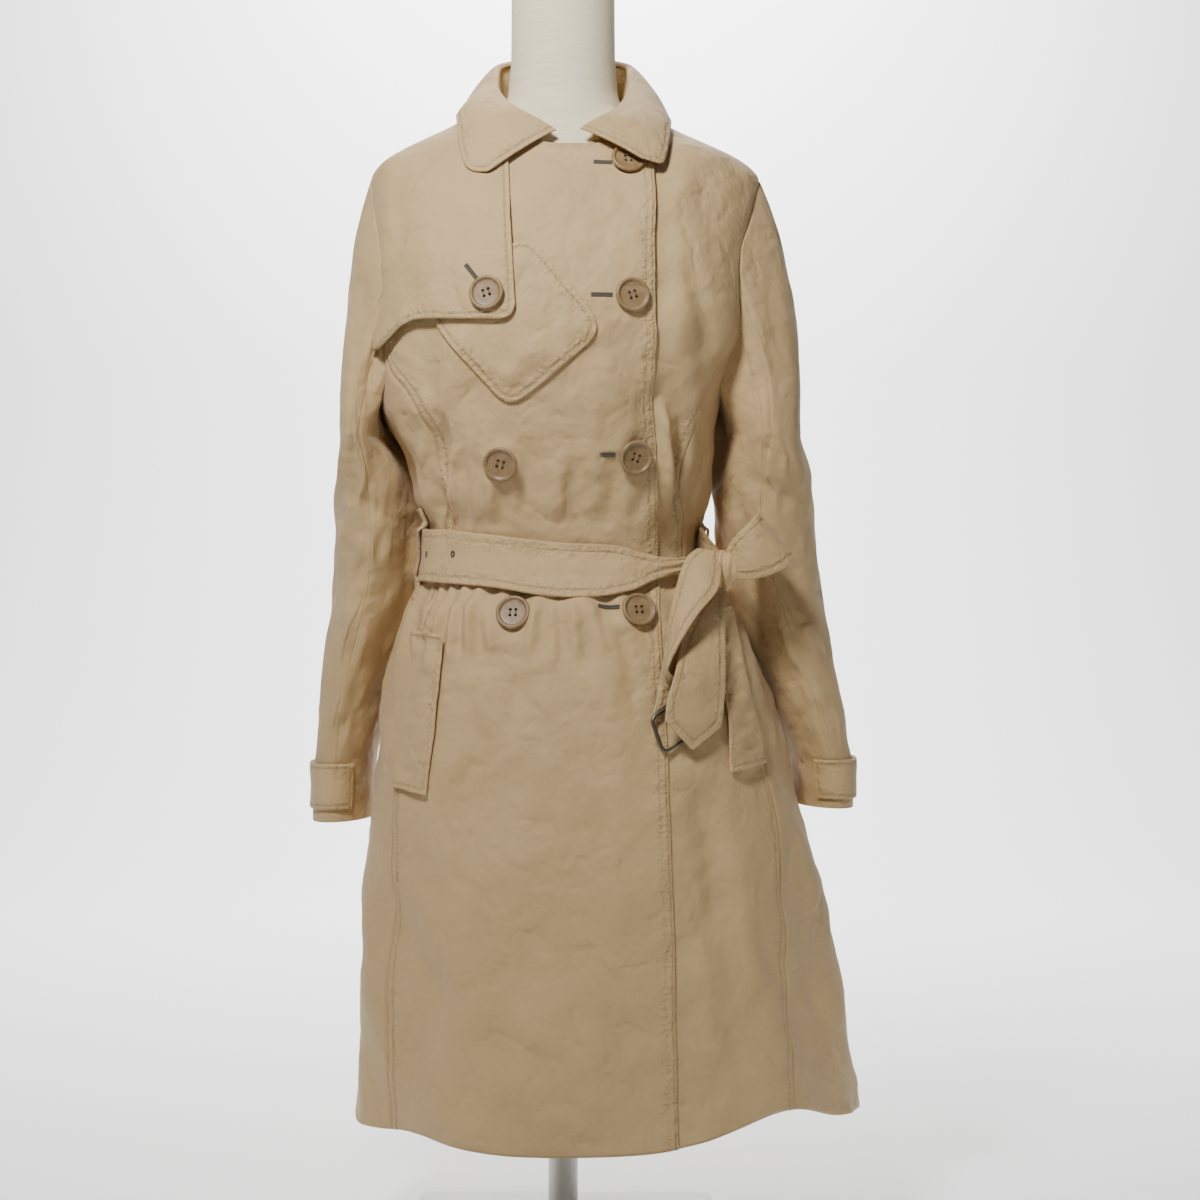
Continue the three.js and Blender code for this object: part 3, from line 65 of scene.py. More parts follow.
COAT = table("z left right front back square_f square_b", [
    (120, -191, 276, -173, 172, 2.2, 2.1),
    (233, -189, 258, -165, 165, 2.2, 2.1),
    (330, -185, 242, -157, 158, 2.2, 2.1),
    (433, -177, 218, -148, 150, 2.2, 2.1),
    (518, -168, 196, -137, 141, 2.2, 2.1),
    (584, -151, 171, -123, 127, 2.2, 2.1),
    (613, -141, 156, -113, 116, 2.2, 2.1),
    (634, -131, 134, -103, 103, 2.2, 2.1),
    (656, -126, 125, -98, 96, 2.2, 2.1),
    (680, -128, 127, -102, 98, 2.2, 2.1),
    (705, -138, 133, -110, 103, 2.3, 2.1),
    (742, -147, 137, -120, 109, 2.3, 2.2),
    (790, -170, 142, -130, 116, 2.3, 2.3),
    (830, -175, 158, -134, 119, 2.3, 2.3),
    (860, -175, 171, -134, 121, 2.3, 2.3),
    (900, -176, 175, -129, 121, 2.3, 2.3),
    (950, -178, 178, -113, 114, 2.2, 2.2),
    (985, -181, 182, -98, 103, 2.0, 2.0),
    (1010, -182, 184, -84, 92, 1.8, 1.8),
    (1021, -175, 177, -78, 86, 1.75, 1.75),
    (1031, -160, 163, -73, 81, 1.7, 1.7),
    (1041, -138, 142, -69, 76, 1.7, 1.7),
    (1050, -117, 121, -66, 72, 1.7, 1.7),
    (1060, -98, 100, -62, 68, 1.7, 1.7),
    (1070, -79, 79, -60, 65, 1.8, 1.8),
    (1078, -62, 62, -58, 63, 2.0, 2.0),
    (1086, -57, 57, -57, 61, 2.0, 2.0),
    (1096, -54, 54, -56, 60, 2.0, 2.0),
])
SEAMS = table("z princess_r princess_l over", [
    (130, -158, 213, 104),
    (375, -155, 199, 98),
    (457, -149, 188, 95),
    (560, -136, 163, 91),
    (604, -127, 150, 89),
    (632, -115, 122, 88),
    (656, -108, 111, 87),
    (711, -110, 111, 86),
    (740, -114, 114, 85),
    (786, -126, 121, 84),
    (803, -139, 129, 84),
    (828, -157, 145, 84),
    (860, -166, 161, 84),
    (1010, -166, 161, 84),
])
ARMHOLES = table("z front back", [
    (860, 0.953, 0.95),
    (888, 0.93, 0.925),
    (917, 0.925, 0.915),
    (950, 0.95, 0.945),
    (985, 0.983, 0.98),
    (1010, 1, 1),
])
FOLDS = [
    # at, width, low, peak, high, depth: degrees from the centre front, and millimetres
    (-52, 5, 640, 705, 800, -4),
    (-62, 5, 640, 700, 780, 3),
    (46, 7, 650, 760, 900, -5),
    (58, 6, 650, 740, 870, 4),
    (-72, 12, -400, 130, 560, 6),
    (-50, 11, -400, 130, 520, -6),
    (-22, 13, -400, 130, 470, 4),
    (62, 11, -400, 130, 540, -9),
    (84, 12, -400, 130, 560, 7),
    (112, 14, -400, 130, 560, -8),
    (140, 14, -400, 130, 540, 9),
    (168, 12, -400, 130, 560, -8),
    (-166, 12, -400, 130, 540, 8),
    (-140, 13, -400, 130, 560, -8),
    (-112, 13, -400, 130, 540, 8),
]
GATHERS = table("z depth", [
    (130, 0),
    (540, 0.3),
    (590, 2.2),
    (612, 3.2),
    (634, 1.2),
    (656, 0),
    (680, 0.8),
    (705, 2.2),
    (740, 1.4),
    (800, 0),
    (1100, 0),
])
HEM = 130
HEM_LIFTS = [
    # at and width in degrees from the centre front, and how much higher the hem lies
    (42, 23, 31),
    (-46, 17, 8),
    (78, 15, 5),
    (-84, 20, 2),
]
HEM_FADE = 150
ROWS = [130, 205, 285, 365, 440, 505, 555, 590, 612, 634, 656, 680, 705, 740, 770, 800, 830, 860]
SIDE_FAN_ROW = 13
SHOULDER_EASE = 0.004
TURN_STEP, RISE_STEP = 0.02, 2
SIDE_COLUMNS, BACK_COLUMNS = 10, 22
UPPER_ROWS = np.array([0, 0.26, 0.5, 0.7, 0.85, 0.94, 1])
SHOULDER_ROWS = [1010, 1020, 1033, 1050, 1078]
SHOULDER_COUNT = len(SHOULDER_ROWS)
SHOULDER_SHARES = np.arange(SHOULDER_COUNT) / (SHOULDER_COUNT - 1)
OVER_SHARES = np.array(
    [0, 0.035, 0.07, 0.11, 0.15, 0.19, 0.23, 0.27, 0.31, 0.36, 0.42, 0.49, 0.56, 0.63, 0.7, 0.77, 0.84, 0.92, 1]
)
CLOTH = 1.5
LINED = 2.2
SEAM_GAP = 0.3
SEAM_TRIM = 0.8 * SEAM_GAP
LAYER_GAP = 0.8
LAYER = CLOTH + LAYER_GAP
UNDER_FROM, UNDER_MARGIN, UNDER_FADE = 8, 8, 20
PRINCESS_TOP, ARMPIT, SHOULDER_TIP = 860, 800, 1010
NECK_POINT, FRONT_NECK, BACK_NECK, LAPEL_CORNER, NECK_HALF = 1078, 1030, 1094, 1034, 62


def smooth(x):
    x = np.clip(x, 0, 1)
    return x * x * (3 - 2 * x)


def mix(a, b, t):
    return a + (b - a) * t


def signed_power(x, exponent):
    return np.sign(x) * np.abs(x) ** exponent


def reader(columns, along="z"):
    """Each column of a table as a smooth function that doesn't overshoot its rows."""
    at = columns[along]

    def one(value):
        rise = np.diff(value) / np.diff(at)
        product = rise[:-1] * rise[1:]
        total = np.where(product > 0, rise[:-1] + rise[1:], 1)
        inner = np.where(product > 0, 2 * product / total, 0)
        slope = np.concatenate([rise[:1], inner, rise[-1:]])

        def read(x):
            x = np.clip(x, at[0], at[-1])
            i = np.clip(np.searchsorted(at, x, side="right") - 1, 0, len(at) - 2)
            step = at[i + 1] - at[i]
            t = (x - at[i]) / step
            u = 1 - t
            return (
                (1 + 2 * t) * u * u * value[i]
                + t * u * u * step * slope[i]
                + t * t * (3 - 2 * t) * value[i + 1]
                - t * t * u * step * slope[i + 1]
            )

        return read

    return {name: one(value) for name, value in columns.items() if name != along}


coat = reader(COAT)
seams = reader(SEAMS)
armhole = reader(ARMHOLES)
gather_depth = reader(GATHERS)["depth"]


def middle(z):
    return (coat["left"](z) + coat["right"](z)) / 2


def half_width(z):
    return (coat["right"](z) - coat["left"](z)) / 2


def section(shape, angle, z):
    """A point of a table of sections. Angle 0 is the centre front and -90 degrees the wearer's right."""
    across, ahead = np.sin(angle), np.cos(angle)
    left, right = shape["left"](z), shape["right"](z)
    square = np.where(ahead > 0, shape["square_f"](z), shape["square_b"](z))
    depth = np.where(ahead > 0, -shape["front"](z), shape["back"](z))
    x = (left + right) / 2 + (right - left) / 2 * signed_power(across, 2 / square)
    y = -depth * signed_power(ahead, 2 / square)
    return np.stack([x, y, z + 0 * x], -1)


def unit(v):
    return v / np.maximum(np.linalg.norm(v, axis=-1, keepdims=True), 1e-9)


def form_normal(angle, z):
    across = section(coat, angle + TURN_STEP, z) - section(coat, angle - TURN_STEP, z)
    up = section(coat, angle, z + RISE_STEP) - section(coat, angle, z - RISE_STEP)
    return unit(np.cross(across, up))


def fold_depth(angle, z):
    degrees = np.degrees(angle)
    total = np.zeros(np.broadcast(angle, z).shape)
    for at, width, low, peak, high, depth in FOLDS:
        off = (degrees - at + 540) % 360 - 180
        reach = np.where(z > peak, (high - z) / (high - peak), (z - low) / (peak - low))
        total = total + depth * smooth(reach) * np.exp(-((off / width) ** 2))
    return total


def on_coat(angle, z, above=0.0):
    """The place that far above the coat's plain form."""
    angle, z, above = np.broadcast_arrays(np.asarray(angle, float), np.asarray(z, float), np.asarray(above, float))
    out = above + fold_depth(angle, z)
    return section(coat, angle, z) + form_normal(angle, z) * out[..., None]


def hem_lift(angle, z):
    """How much higher the cloth lies near the hem, where the hem rises."""
    degrees = np.degrees(angle)
    rise = sum(rise * np.exp(-(((degrees - at) / width) ** 2)) for at, width, rise in HEM_LIFTS)
    return rise * (1 - smooth((z - HEM) / HEM_FADE))


def angle_at(x, z, behind=False):
    """The angle of the place on the coat's front, or its back, that lies at x."""
    share = np.clip((x - middle(z)) / half_width(z), -1, 1)
    turn = np.arcsin(signed_power(share, coat["square_b" if behind else "square_f"](z) / 2))
    return -math.pi - turn if behind else turn


def gathers(i, count, z, amount):
    """How far the gathers lift each column of a panel, in turn out and in."""
    inside = (i > 0) & (i < count)
    uneven = 0.75 + 0.25 * np.sin(i * 2.4)
    return np.where(inside, amount * uneven * gather_depth(z) * np.where(i % 2 == 1, -1.0, 1.0), 0.0)


def lower_row(z, start, end, shares, amount):
    i = np.arange(len(shares))
    angle = mix(start, end, shares)
    return np.stack([angle, np.full(len(shares), float(z)), gathers(i, len(shares) - 1, z, amount)], -1)


def patch(bottom, top, start, end, shares):
    """Places between four edges that share their corners."""
    bottom, top, start, end = (np.asarray(e, float) for e in (bottom, top, start, end))
    u = np.linspace(0, 1, len(bottom))[None, :, None]
    v = np.asarray(shares)[:, None, None]
    flat = (1 - u) * ((1 - v) * bottom[0] + v * top[0]) + u * ((1 - v) * bottom[-1] + v * top[-1])
    return (1 - v) * bottom + v * top + (1 - u) * start[:, None] + u * end[:, None] - flat


def shoulder_place(side, t):
    step = np.minimum(3, np.floor(np.asarray(t) * 4)).astype(int)
    rows = np.array(SHOULDER_ROWS, float)
    z = mix(rows[step], rows[step + 1], np.asarray(t) * 4 - step)
    return np.stack([middle(z) + side * half_width(z), z], -1)


def front_neck_place(side, t):
    turn = np.radians(90 * (1 - np.asarray(t, float)))
    return np.stack([side * NECK_HALF * np.sin(turn), mix(FRONT_NECK, NECK_POINT, 1 - np.cos(turn))], -1)


def back_neck_place(t):
    turn = np.radians(mix(-90, 90, np.asarray(t, float)))
    return np.stack([NECK_HALF * np.sin(turn), mix(NECK_POINT, BACK_NECK, np.cos(turn))], -1)


def place_x(row):
    return np.stack([section(coat, row[:, 0], row[:, 1])[:, 0], row[:, 1]], -1)


def armhole_edge(side, which):
    z = mix(PRINCESS_TOP, SHOULDER_TIP, UPPER_ROWS)
    return np.stack([middle(z) + side * half_width(z) * armhole[which](z), z], -1)


def front_top(side, bottom, edge, neck):
    start = armhole_edge(side, "front")
    start[0] = bottom[0]
    count = len(bottom)
    closed = np.arange(1, neck + 1) / neck
    rest = count - SHOULDER_COUNT - neck
    t = np.arange(1, rest + 1) / rest
    lapel = np.stack([mix(0, edge(LAPEL_CORNER), t), mix(FRONT_NECK, LAPEL_CORNER, t * t)], -1)
    top = np.concatenate([shoulder_place(side, SHOULDER_SHARES), front_neck_place(side, closed), lapel])
    z = mix(PRINCESS_TOP, LAPEL_CORNER, UPPER_ROWS)
    end = np.stack([np.array([float(edge(v)) for v in z]), z], -1)
    end[0] = bottom[-1]
    grid = patch(bottom, top, start, end, UPPER_ROWS)[1:]
    angle = angle_at(grid[..., 0], grid[..., 1])
    angle[-1, :SHOULDER_COUNT] = side * (math.pi / 2 - SHOULDER_EASE)
    return np.stack([angle, grid[..., 1], np.zeros_like(angle)], -1)


def over_places():
    """The right front's places: it lies over the left one."""
    rows = []
    for z in ROWS:
        start = angle_at(seams["princess_r"](z), z) + SEAM_GAP / half_width(z)
        rows.append(lower_row(z, start, angle_at(seams["over"](z), z), OVER_SHARES, 1))
    rows = np.array(rows)
    return np.concatenate([rows, front_top(-1, place_x(rows[-1]), seams["over"], 8)])


def under_places(over):
    """The left front's places: where it is covered, its columns are those of the right one."""
    rows = []
    for j, z in enumerate(ROWS):
        start = angle_at(seams["princess_l"](z), z) - SEAM_GAP / half_width(z)
        covered = over[j][UNDER_FROM:][::-1]
        free = lower_row(z, start, covered[0][0], np.linspace(0, 1, 5), 0.7)[:-1]
        rows.append(np.concatenate([free, covered]))
    rows = np.array(rows)
    edge_angle = rows[-1][-1, 0]
    top = front_top(1, place_x(rows[-1]), lambda z: section(coat, edge_angle, np.array(float(z)))[0], 5)
    return np.concatenate([rows, top])


def under_drop(angle, z):
    """How far the left front lies below its own line where the right one covers it."""
    x = section(coat, angle, z)[..., 0]
    across = 1 - smooth((x - seams["over"](z) - UNDER_MARGIN) / UNDER_FADE)
    up = 1 - smooth((z - LAPEL_CORNER - UNDER_MARGIN) / UNDER_FADE)
    chestward = 1 + smooth((z - ARMPIT) / (PRINCESS_TOP - ARMPIT))
    return -LAYER * chestward * across * up


def back_seam_angle(side, z):
    front = angle_at(seams["princess_r" if side < 0 else "princess_l"](z), z)
    last = angle_at(middle(z) + side * half_width(z) * armhole["back"](z), z, True)
    low = ROWS[SIDE_FAN_ROW]
    rise = smooth((z - low) / (PRINCESS_TOP - low))
    return mix(side * math.pi - front, last if side < 0 else last + 2 * math.pi, rise)


def side_places(side, count):
    t = np.linspace(0, 1, count + 1)
    seam = seams["princess_r" if side < 0 else "princess_l"]
    rows = []
    for j, row_z in enumerate(ROWS):
        fan = max(0, (j - SIDE_FAN_ROW) / (len(ROWS) - 1 - SIDE_FAN_ROW))
        scoop = mix(PRINCESS_TOP, ARMPIT, np.sin(math.pi * np.clip(t, 0, 1)) ** 0.6)
        z = mix(ROWS[SIDE_FAN_ROW], scoop, fan) if fan > 0 else np.full(count + 1, float(row_z))
        trim = side * SEAM_TRIM / half_width(z)
        start = angle_at(seam(z), z) + trim
        end = back_seam_angle(side, z) - trim
        rows.append(np.stack([mix(start, end, t), z, gathers(np.arange(count + 1), count, z, 1)], -1))
    return np.array(rows)


def back_places(count):
    rows = []
    for z in ROWS:
        trim = SEAM_TRIM / half_width(z)
        start = back_seam_angle(-1, z) - trim
        end = back_seam_angle(1, z) - 2 * math.pi + trim
        rows.append(lower_row(z, start, end, np.linspace(0, 1, count + 1), 1))
    rows = np.array(rows)
    bottom = place_x(rows[-1])
    start, end = armhole_edge(-1, "back"), armhole_edge(1, "back")
    start[0], end[0] = bottom[0], bottom[-1]
    rest = count + 2 - 2 * SHOULDER_COUNT
    neck = back_neck_place(np.arange(1, rest) / rest)
    top = np.concatenate([shoulder_place(-1, SHOULDER_SHARES), neck, shoulder_place(1, SHOULDER_SHARES)[::-1]])
    grid = patch(bottom, top, start, end, UPPER_ROWS)[1:]
    angle = angle_at(grid[..., 0], grid[..., 1], True)
    angle[-1, :SHOULDER_COUNT] = -math.pi / 2 - SHOULDER_EASE
    angle[-1, -SHOULDER_COUNT:] = -1.5 * math.pi + SHOULDER_EASE
    return np.concatenate([rows, np.stack([angle, grid[..., 1], np.zeros_like(angle)], -1)])


def spline(values, at, closed=False):
    """Values between rows of values, along a curve through them. at counts rows from 0."""
    values = np.asarray(values, float)
    count = len(values)
    i = np.floor(at).astype(int)
    if not closed:
        i = np.clip(i, 0, count - 2)
    t = (at - i).reshape((-1,) + (1,) * (values.ndim - 1))

    def pick(k):
        return values[(i + k) % count] if closed else values[np.clip(i + k, 0, count - 1)]

    a, b, c, d = pick(-1), pick(0), pick(1), pick(2)
    if not closed:
        first = (i == 0).reshape(t.shape)
        last = (i == count - 2).reshape(t.shape)
        a = np.where(first, 2 * b - c, a)
        d = np.where(last, 2 * c - b, d)
    return 0.5 * (2 * b + (c - a) * t + (2 * a - 5 * b + 4 * c - d) * t * t + (3 * b - a - 3 * c + d) * t**3)


NEAR_STEPS = np.array([0.04, 0.1, 0.18])


def fine_steps(count, per):
    """Steps along rows counted from 0, closer together beside both ends."""
    inner = np.arange(1, count * per) / per
    steps = np.concatenate([[0], NEAR_STEPS, inner, count - NEAR_STEPS, [count]])
    return np.unique(np.round(steps, 5))


def close_ends(near, count):
    """Steps from 0 to 1 that lie closer together at both ends. near holds the first ones after 0."""
    near = np.array([0, *near])
    return np.concatenate([near, np.linspace(2 * near[-1], 1 - 2 * near[-1], count), 1 - near[::-1]])


def refine(grid, up, across):
    rows = spline(grid, fine_steps(len(grid) - 1, up))
    return spline(rows.swapaxes(0, 1), fine_steps(grid.shape[1] - 1, across)).swapaxes(0, 1)


def grid_normals(grid, closed=False):
    if closed:
        across = np.roll(grid, -1, 1) - np.roll(grid, 1, 1)
    else:
        across = np.gradient(grid, axis=1)
    return unit(np.cross(across, np.gradient(grid, axis=0)))


def run_lengths(grid):
    """How far each point lies along its row and up its column."""
    across = np.linalg.norm(np.diff(grid, axis=1), axis=-1)
    up = np.linalg.norm(np.diff(grid, axis=0), axis=-1)
    u = np.concatenate([np.zeros((grid.shape[0], 1)), np.cumsum(across, 1)], 1)
    v = np.concatenate([np.zeros((1, grid.shape[1])), np.cumsum(up, 0)], 0)
    return u, v


FAR = 1000.0
EDGE_STEP, RIM_SHARE, FLAT_ROOM = 0.8, 0.34, 1.02


def side_distance(u, v, side):
    return {"start": u, "end": u[:, -1:] - u, "bottom": v, "top": v[-1:] - v}[side]


COAT_WAVES = [
    # turns round the coat, rise, phase and depth
    (3, 71, 0.3, 0.5),
    (5, -53, 1.1, 0.4),
    (8, 38, 2.3, 0.35),
    (13, -29, 4.0, 0.25),
    (19, 23, 5.2, 0.16),
]
SLEEVE_WAVES = [
    (3, 37, 0, 0.5),
    (4, -23, 1, 0.4),
    (7, 15, 2, 0.25),
]


def surface_wave(waves, angle, z):
    """The slight unevenness of cloth, the same for every piece that lies on one surface."""
    return sum(depth * np.sin(turns * angle + z / rise + phase) for turns, rise, phase, depth in waves)


CREASES = {
    "front": [
        # one end and the other by x and z, then width and depth
        (-118, 842, -108, 700, 9, -2.6), (-92, 760, -104, 690, 6, 2.2),
        (-80, 860, -116, 770, 14, 2.4), (-60, 800, -10, 850, 12, 1.6),
        (-12, 790, 40, 845, 14, -1.6), (96, 900, 118, 760, 13, 2.8),
        (112, 930, 138, 820, 9, -2.4), (92, 800, 104, 695, 8, 2.4),
        (108, 770, 112, 690, 6, -2.4), (60, 960, 130, 1000, 20, 1.8),
        (-70, 960, -140, 1000, 20, 1.6), (10, 720, 30, 690, 8, 1.2),
        (-122, 622, -132, 556, 5, 3.0), (-109, 624, -116, 540, 5, 2.8),
        (-97, 622, -98, 548, 5, 2.6), (-84, 621, -80, 556, 5, 2.6),
        (-70, 620, -60, 560, 5, 2.2), (-22, 618, -30, 556, 5, 2.2),
        (-8, 617, -6, 548, 5, 2.6), (8, 617, 16, 556, 5, 2.4),
        (24, 618, 40, 560, 5, 2.0), (40, 622, 60, 560, 6, -1.6),
        (118, 622, 124, 560, 6, 2.4), (-116, 690, -128, 770, 5, 3.4),
        (-103, 688, -104, 790, 5, -3.0), (-66, 684, -52, 760, 8, 1.8),
        (-36, 682, -30, 740, 7, -1.4), (-4, 680, 4, 750, 8, 1.6),
        (96, 692, 92, 800, 5, 3.2), (106, 690, 108, 790, 4, -3.0),
        (-60, 560, -120, 420, 16, 2.2), (-30, 590, -48, 480, 9, -1.6),
        (-86, 560, -70, 360, 15, -2.4), (20, 580, 70, 430, 15, 2.0),
        (54, 590, 66, 520, 8, -1.8), (-10, 470, 70, 300, 20, 2.6),
        (-120, 360, -60, 200, 22, 2.4), (-100, 300, -140, 170, 18, -2.6),
        (-20, 330, -70, 190, 20, -2.2), (40, 260, 84, 170, 18, -2.2),
        (120, 480, 150, 300, 15, -3.0), (136, 420, 190, 240, 17, 3.0),
        (118, 330, 138, 180, 16, 2.6), (170, 330, 226, 190, 15, -2.6),
    ],
    "back": [
        (-60, 860, -30, 730, 15, 2.4), (60, 870, 24, 730, 15, 2.6),
        (-100, 820, -84, 700, 11, -2.4), (104, 830, 88, 700, 11, -2.4),
        (-80, 980, 70, 968, 18, 1.8), (-30, 600, -66, 420, 14, 2.6),
        (34, 600, 80, 400, 15, 2.6), (-110, 560, -130, 300, 16, -3.0),
        (118, 560, 160, 300, 17, -3.0), (0, 420, -20, 200, 22, -2.6),
    ],
}


CREASE_SHARE = 2.1
COAT_ROUND = 2.4
CALM = {
    # the height where the creases fade, over how far, and by what share
    "belt": (648, 34, 0.85),
    "collar": (1005, 25, 1),
    "chest": (800, 120, 0.55),
}
RUMPLES = [
    # wavelength, slant in degrees, depth, phase
    (150, 35, 3.0, 0.4),
    (104, -24, 2.3, 2.1),
    (71, 48, 1.7, 4.4),
    (47, 12, 1.0, 1.3),
    (33, -41, 0.62, 5.0),
    (24, 63, 0.36, 3.1),
]


def rumple(x, z):
    """The soft unevenness of worn cotton: slanted waves that bend and fade in and out."""
    total = 0
    for length, slant, depth, phase in RUMPLES:
        along = x * math.cos(math.radians(slant)) + z * math.sin(math.radians(slant))
        bent = along * 2 * math.pi / length + phase + 1.4 * np.sin(x / length * 1.9 + z / length * 1.1 + phase)
        fade = 0.55 + 0.45 * np.sin(x / length * 1.3 - z / length * 2.3 + 2 * phase)
        total = total + depth * fade * np.sin(bent)
    return total


def crease_depth(table_rows, x, z):
    total = np.zeros(np.broadcast(x, z).shape)
    for x0, z0, x1, z1, width, depth in table_rows:
        length = math.hypot(x1 - x0, z1 - z0)
        along = ((x - x0) * (x1 - x0) + (z - z0) * (z1 - z0)) / length**2
        off = ((x - x0) * (z1 - z0) - (z - z0) * (x1 - x0)) / length
        fade = smooth(along / 0.3) * smooth((1 - along) / 0.3)
        total = total + CREASE_SHARE * depth * fade * np.exp(-((off / width) ** 2))
    return total


def lie(angle, z):
    """How far the cloth's creases lift it off its plain form."""
    x = section(coat, angle, z)[..., 0]
    ahead = np.cos(angle)
    front = smooth(ahead / 0.35) * crease_depth(CREASES["front"], x, z)
    back = smooth(-ahead / 0.35) * crease_depth(CREASES["back"], x, z)
    height, reach, share = CALM["belt"]
    under_belt = 1 - share * np.exp(-(((z - height) / reach) ** 4))
    height, reach, share = CALM["collar"]
    under_collar = 1 - share * smooth((z - height) / reach)
    height, reach, share = CALM["chest"]
    on_chest = 1 - share * smooth((z - height) / reach)
    soft = rumple(np.degrees(angle) * COAT_ROUND, z) * on_chest + surface_wave(COAT_WAVES, angle, z)
    return (front + back + soft) * under_belt * under_collar


def dense(points, step):
    lengths = np.concatenate([[0], np.cumsum(np.linalg.norm(np.diff(points, axis=0), axis=1))])
    count = max(2, int(lengths[-1] / step))
    at = np.linspace(0, lengths[-1], count)
    return np.stack([np.interp(at, lengths, points[:, k]) for k in range(3)], 1)


def edge_distance(grid, sides):
    """How far each point of a grid lies from some of its sides."""
    if not sides:
        return np.full(grid.shape[:2], FAR)
    edges = {"start": grid[:, 0], "end": grid[:, -1], "bottom": grid[0], "top": grid[-1]}
    points = np.concatenate([dense(edges[side], EDGE_STEP) for side in sides])
    tree = KDTree(len(points))
    for i, point in enumerate(points):
        tree.insert(point, i)
    tree.balance()
    flat = [tree.find(p)[2] for p in grid.reshape(-1, 3)]
    return np.array(flat).reshape(grid.shape[:2])


def contour(grid, values, level):
    """The paths on a grid along which a value stays at one level."""
    inside = values > level
    marks = {}

    def mark(key, a, b):
        t = (level - values[a]) / (values[b] - values[a])
        marks[key] = grid[a] + (grid[b] - grid[a]) * t

    for j, i in zip(*np.nonzero(inside[:, :-1] != inside[:, 1:])):
        mark(("row", j, i), (j, i), (j, i + 1))
    for j, i in zip(*np.nonzero(inside[:-1] != inside[1:])):
        mark(("column", j, i), (j, i), (j + 1, i))
    links = {key: [] for key in marks}
    cells = {(j - d, i) for kind, j, i in marks if kind == "row" for d in (0, 1)}
    cells |= {(j, i - d) for kind, j, i in marks if kind == "column" for d in (0, 1)}
    for j, i in cells:
        around = [("row", j, i), ("column", j, i + 1), ("row", j + 1, i), ("column", j, i)]
        found = [key for key in around if key in marks]
        inside_grid = 0 <= j < grid.shape[0] - 1 and 0 <= i < grid.shape[1] - 1
        if inside_grid and len(found) == 2:
            links[found[0]].append(found[1])
            links[found[1]].append(found[0])
    paths = []
    waiting = dict.fromkeys(sorted(links, key=lambda key: len(links[key])))
    while waiting:
        key = next(iter(waiting))
        path = []
        while key is not None:
            waiting.pop(key)
            path.append(marks[key])
            key = next((other for other in links[key] if other in waiting), None)
        if len(path) > 3:
            paths.append(np.array(path))
    return paths


def round_corner(grid, across, up, radius):
    """Rounds one corner of a grid: across is its start or end, up its bottom or top."""
    u, v = run_lengths(grid)
    s, w = side_distance(u, v, across), side_distance(u, v, up)
    row = grid[0 if up == "bottom" else -1]
    column = grid[:, 0 if across == "start" else -1]
    inward = unit(row[len(row) // 2] - row[0] if across == "start" else row[len(row) // 2] - row[-1])
    onward = unit(column[len(column) // 2] - column[0] if up == "bottom" else column[len(column) // 2] - column[-1])
    a, b = np.clip(1 - s / radius, 0, 1), np.clip(1 - w / radius, 0, 1)
    move_in = radius * a * (1 - np.sqrt(1 - b * b / 2))
    move_on = radius * b * (1 - np.sqrt(1 - a * a / 2))
    return grid + move_in[..., None] * inward + move_on[..., None] * onward


def wall_faces(rows, count, ring=False):
    """The quads of a closed wall between an outer and an inner grid."""
    number = np.arange(2 * rows * count).reshape(2, rows, count)
    if ring:
        number = np.concatenate([number, number[:, :, :1]], 2)
    outer, inner = number

    def quads(a, b, c, d):
        return np.stack([a, b, c, d], -1).reshape(-1, 4)

    faces = [
        quads(outer[:-1, :-1], outer[:-1, 1:], outer[1:, 1:], outer[1:, :-1]),
        quads(inner[:-1, 1:], inner[:-1, :-1], inner[1:, :-1], inner[1:, 1:]),
        quads(outer[0, 1:], outer[0, :-1], inner[0, :-1], inner[0, 1:]),
        quads(outer[-1, :-1], outer[-1, 1:], inner[-1, 1:], inner[-1, :-1]),
    ]
    if not ring:
        faces.append(quads(outer[:-1, 0], outer[1:, 0], inner[1:, 0], inner[:-1, 0]))
        faces.append(quads(outer[1:, -1], outer[:-1, -1], inner[:-1, -1], inner[1:, -1]))
    return np.concatenate(faces)


def outward(points, faces):
    """The faces turned so that their normals point out of a closed body."""
    a, b, c, d = (points[faces[:, k]] for k in range(4))
    volume = np.einsum("ij,ij->", a, np.cross(b, c)) + np.einsum("ij,ij->", a, np.cross(c, d))
    return faces[:, ::-1] if volume < 0 else faces


def closed_wall(outer, inner, ring=False):
    """The points and faces of the wall between two grids."""
    points = np.concatenate([outer.reshape(-1, 3), inner.reshape(-1, 3)])
    return points, outward(points, wall_faces(*outer.shape[:2], ring=ring))


def mesh_piece(name, points, faces, material, nodes=(), uv=None, layers=None, is_smooth=True):
    """A mesh in metres at the origin that rides on the one body and stands for its CAD nodes."""
    mesh = bpy.data.meshes.new(name)
    mesh.from_pydata(np.asarray(points) * MM, [], [list(dict.fromkeys(map(int, face))) for face in faces])
    if uv is not None:
        loops = np.empty(len(mesh.loops), int)
        mesh.loops.foreach_get("vertex_index", loops)
        mesh.uv_layers.new(name="cut").data.foreach_set("uv", (uv[loops] * MM).ravel())
    for key, values in (layers or {}).items():
        mesh.attributes.new(key, "FLOAT", "POINT").data.foreach_set("value", np.ravel(values).astype(np.float32))
    mesh.polygons.foreach_set("use_smooth", [is_smooth] * len(mesh.polygons))
    mesh.update()
    mesh.materials.append(material)
    obj = bpy.data.objects.new(name, mesh)
    bpy.context.scene.collection.objects.link(obj)
    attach(obj, "root")
    if nodes:
        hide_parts(*nodes)
    return obj


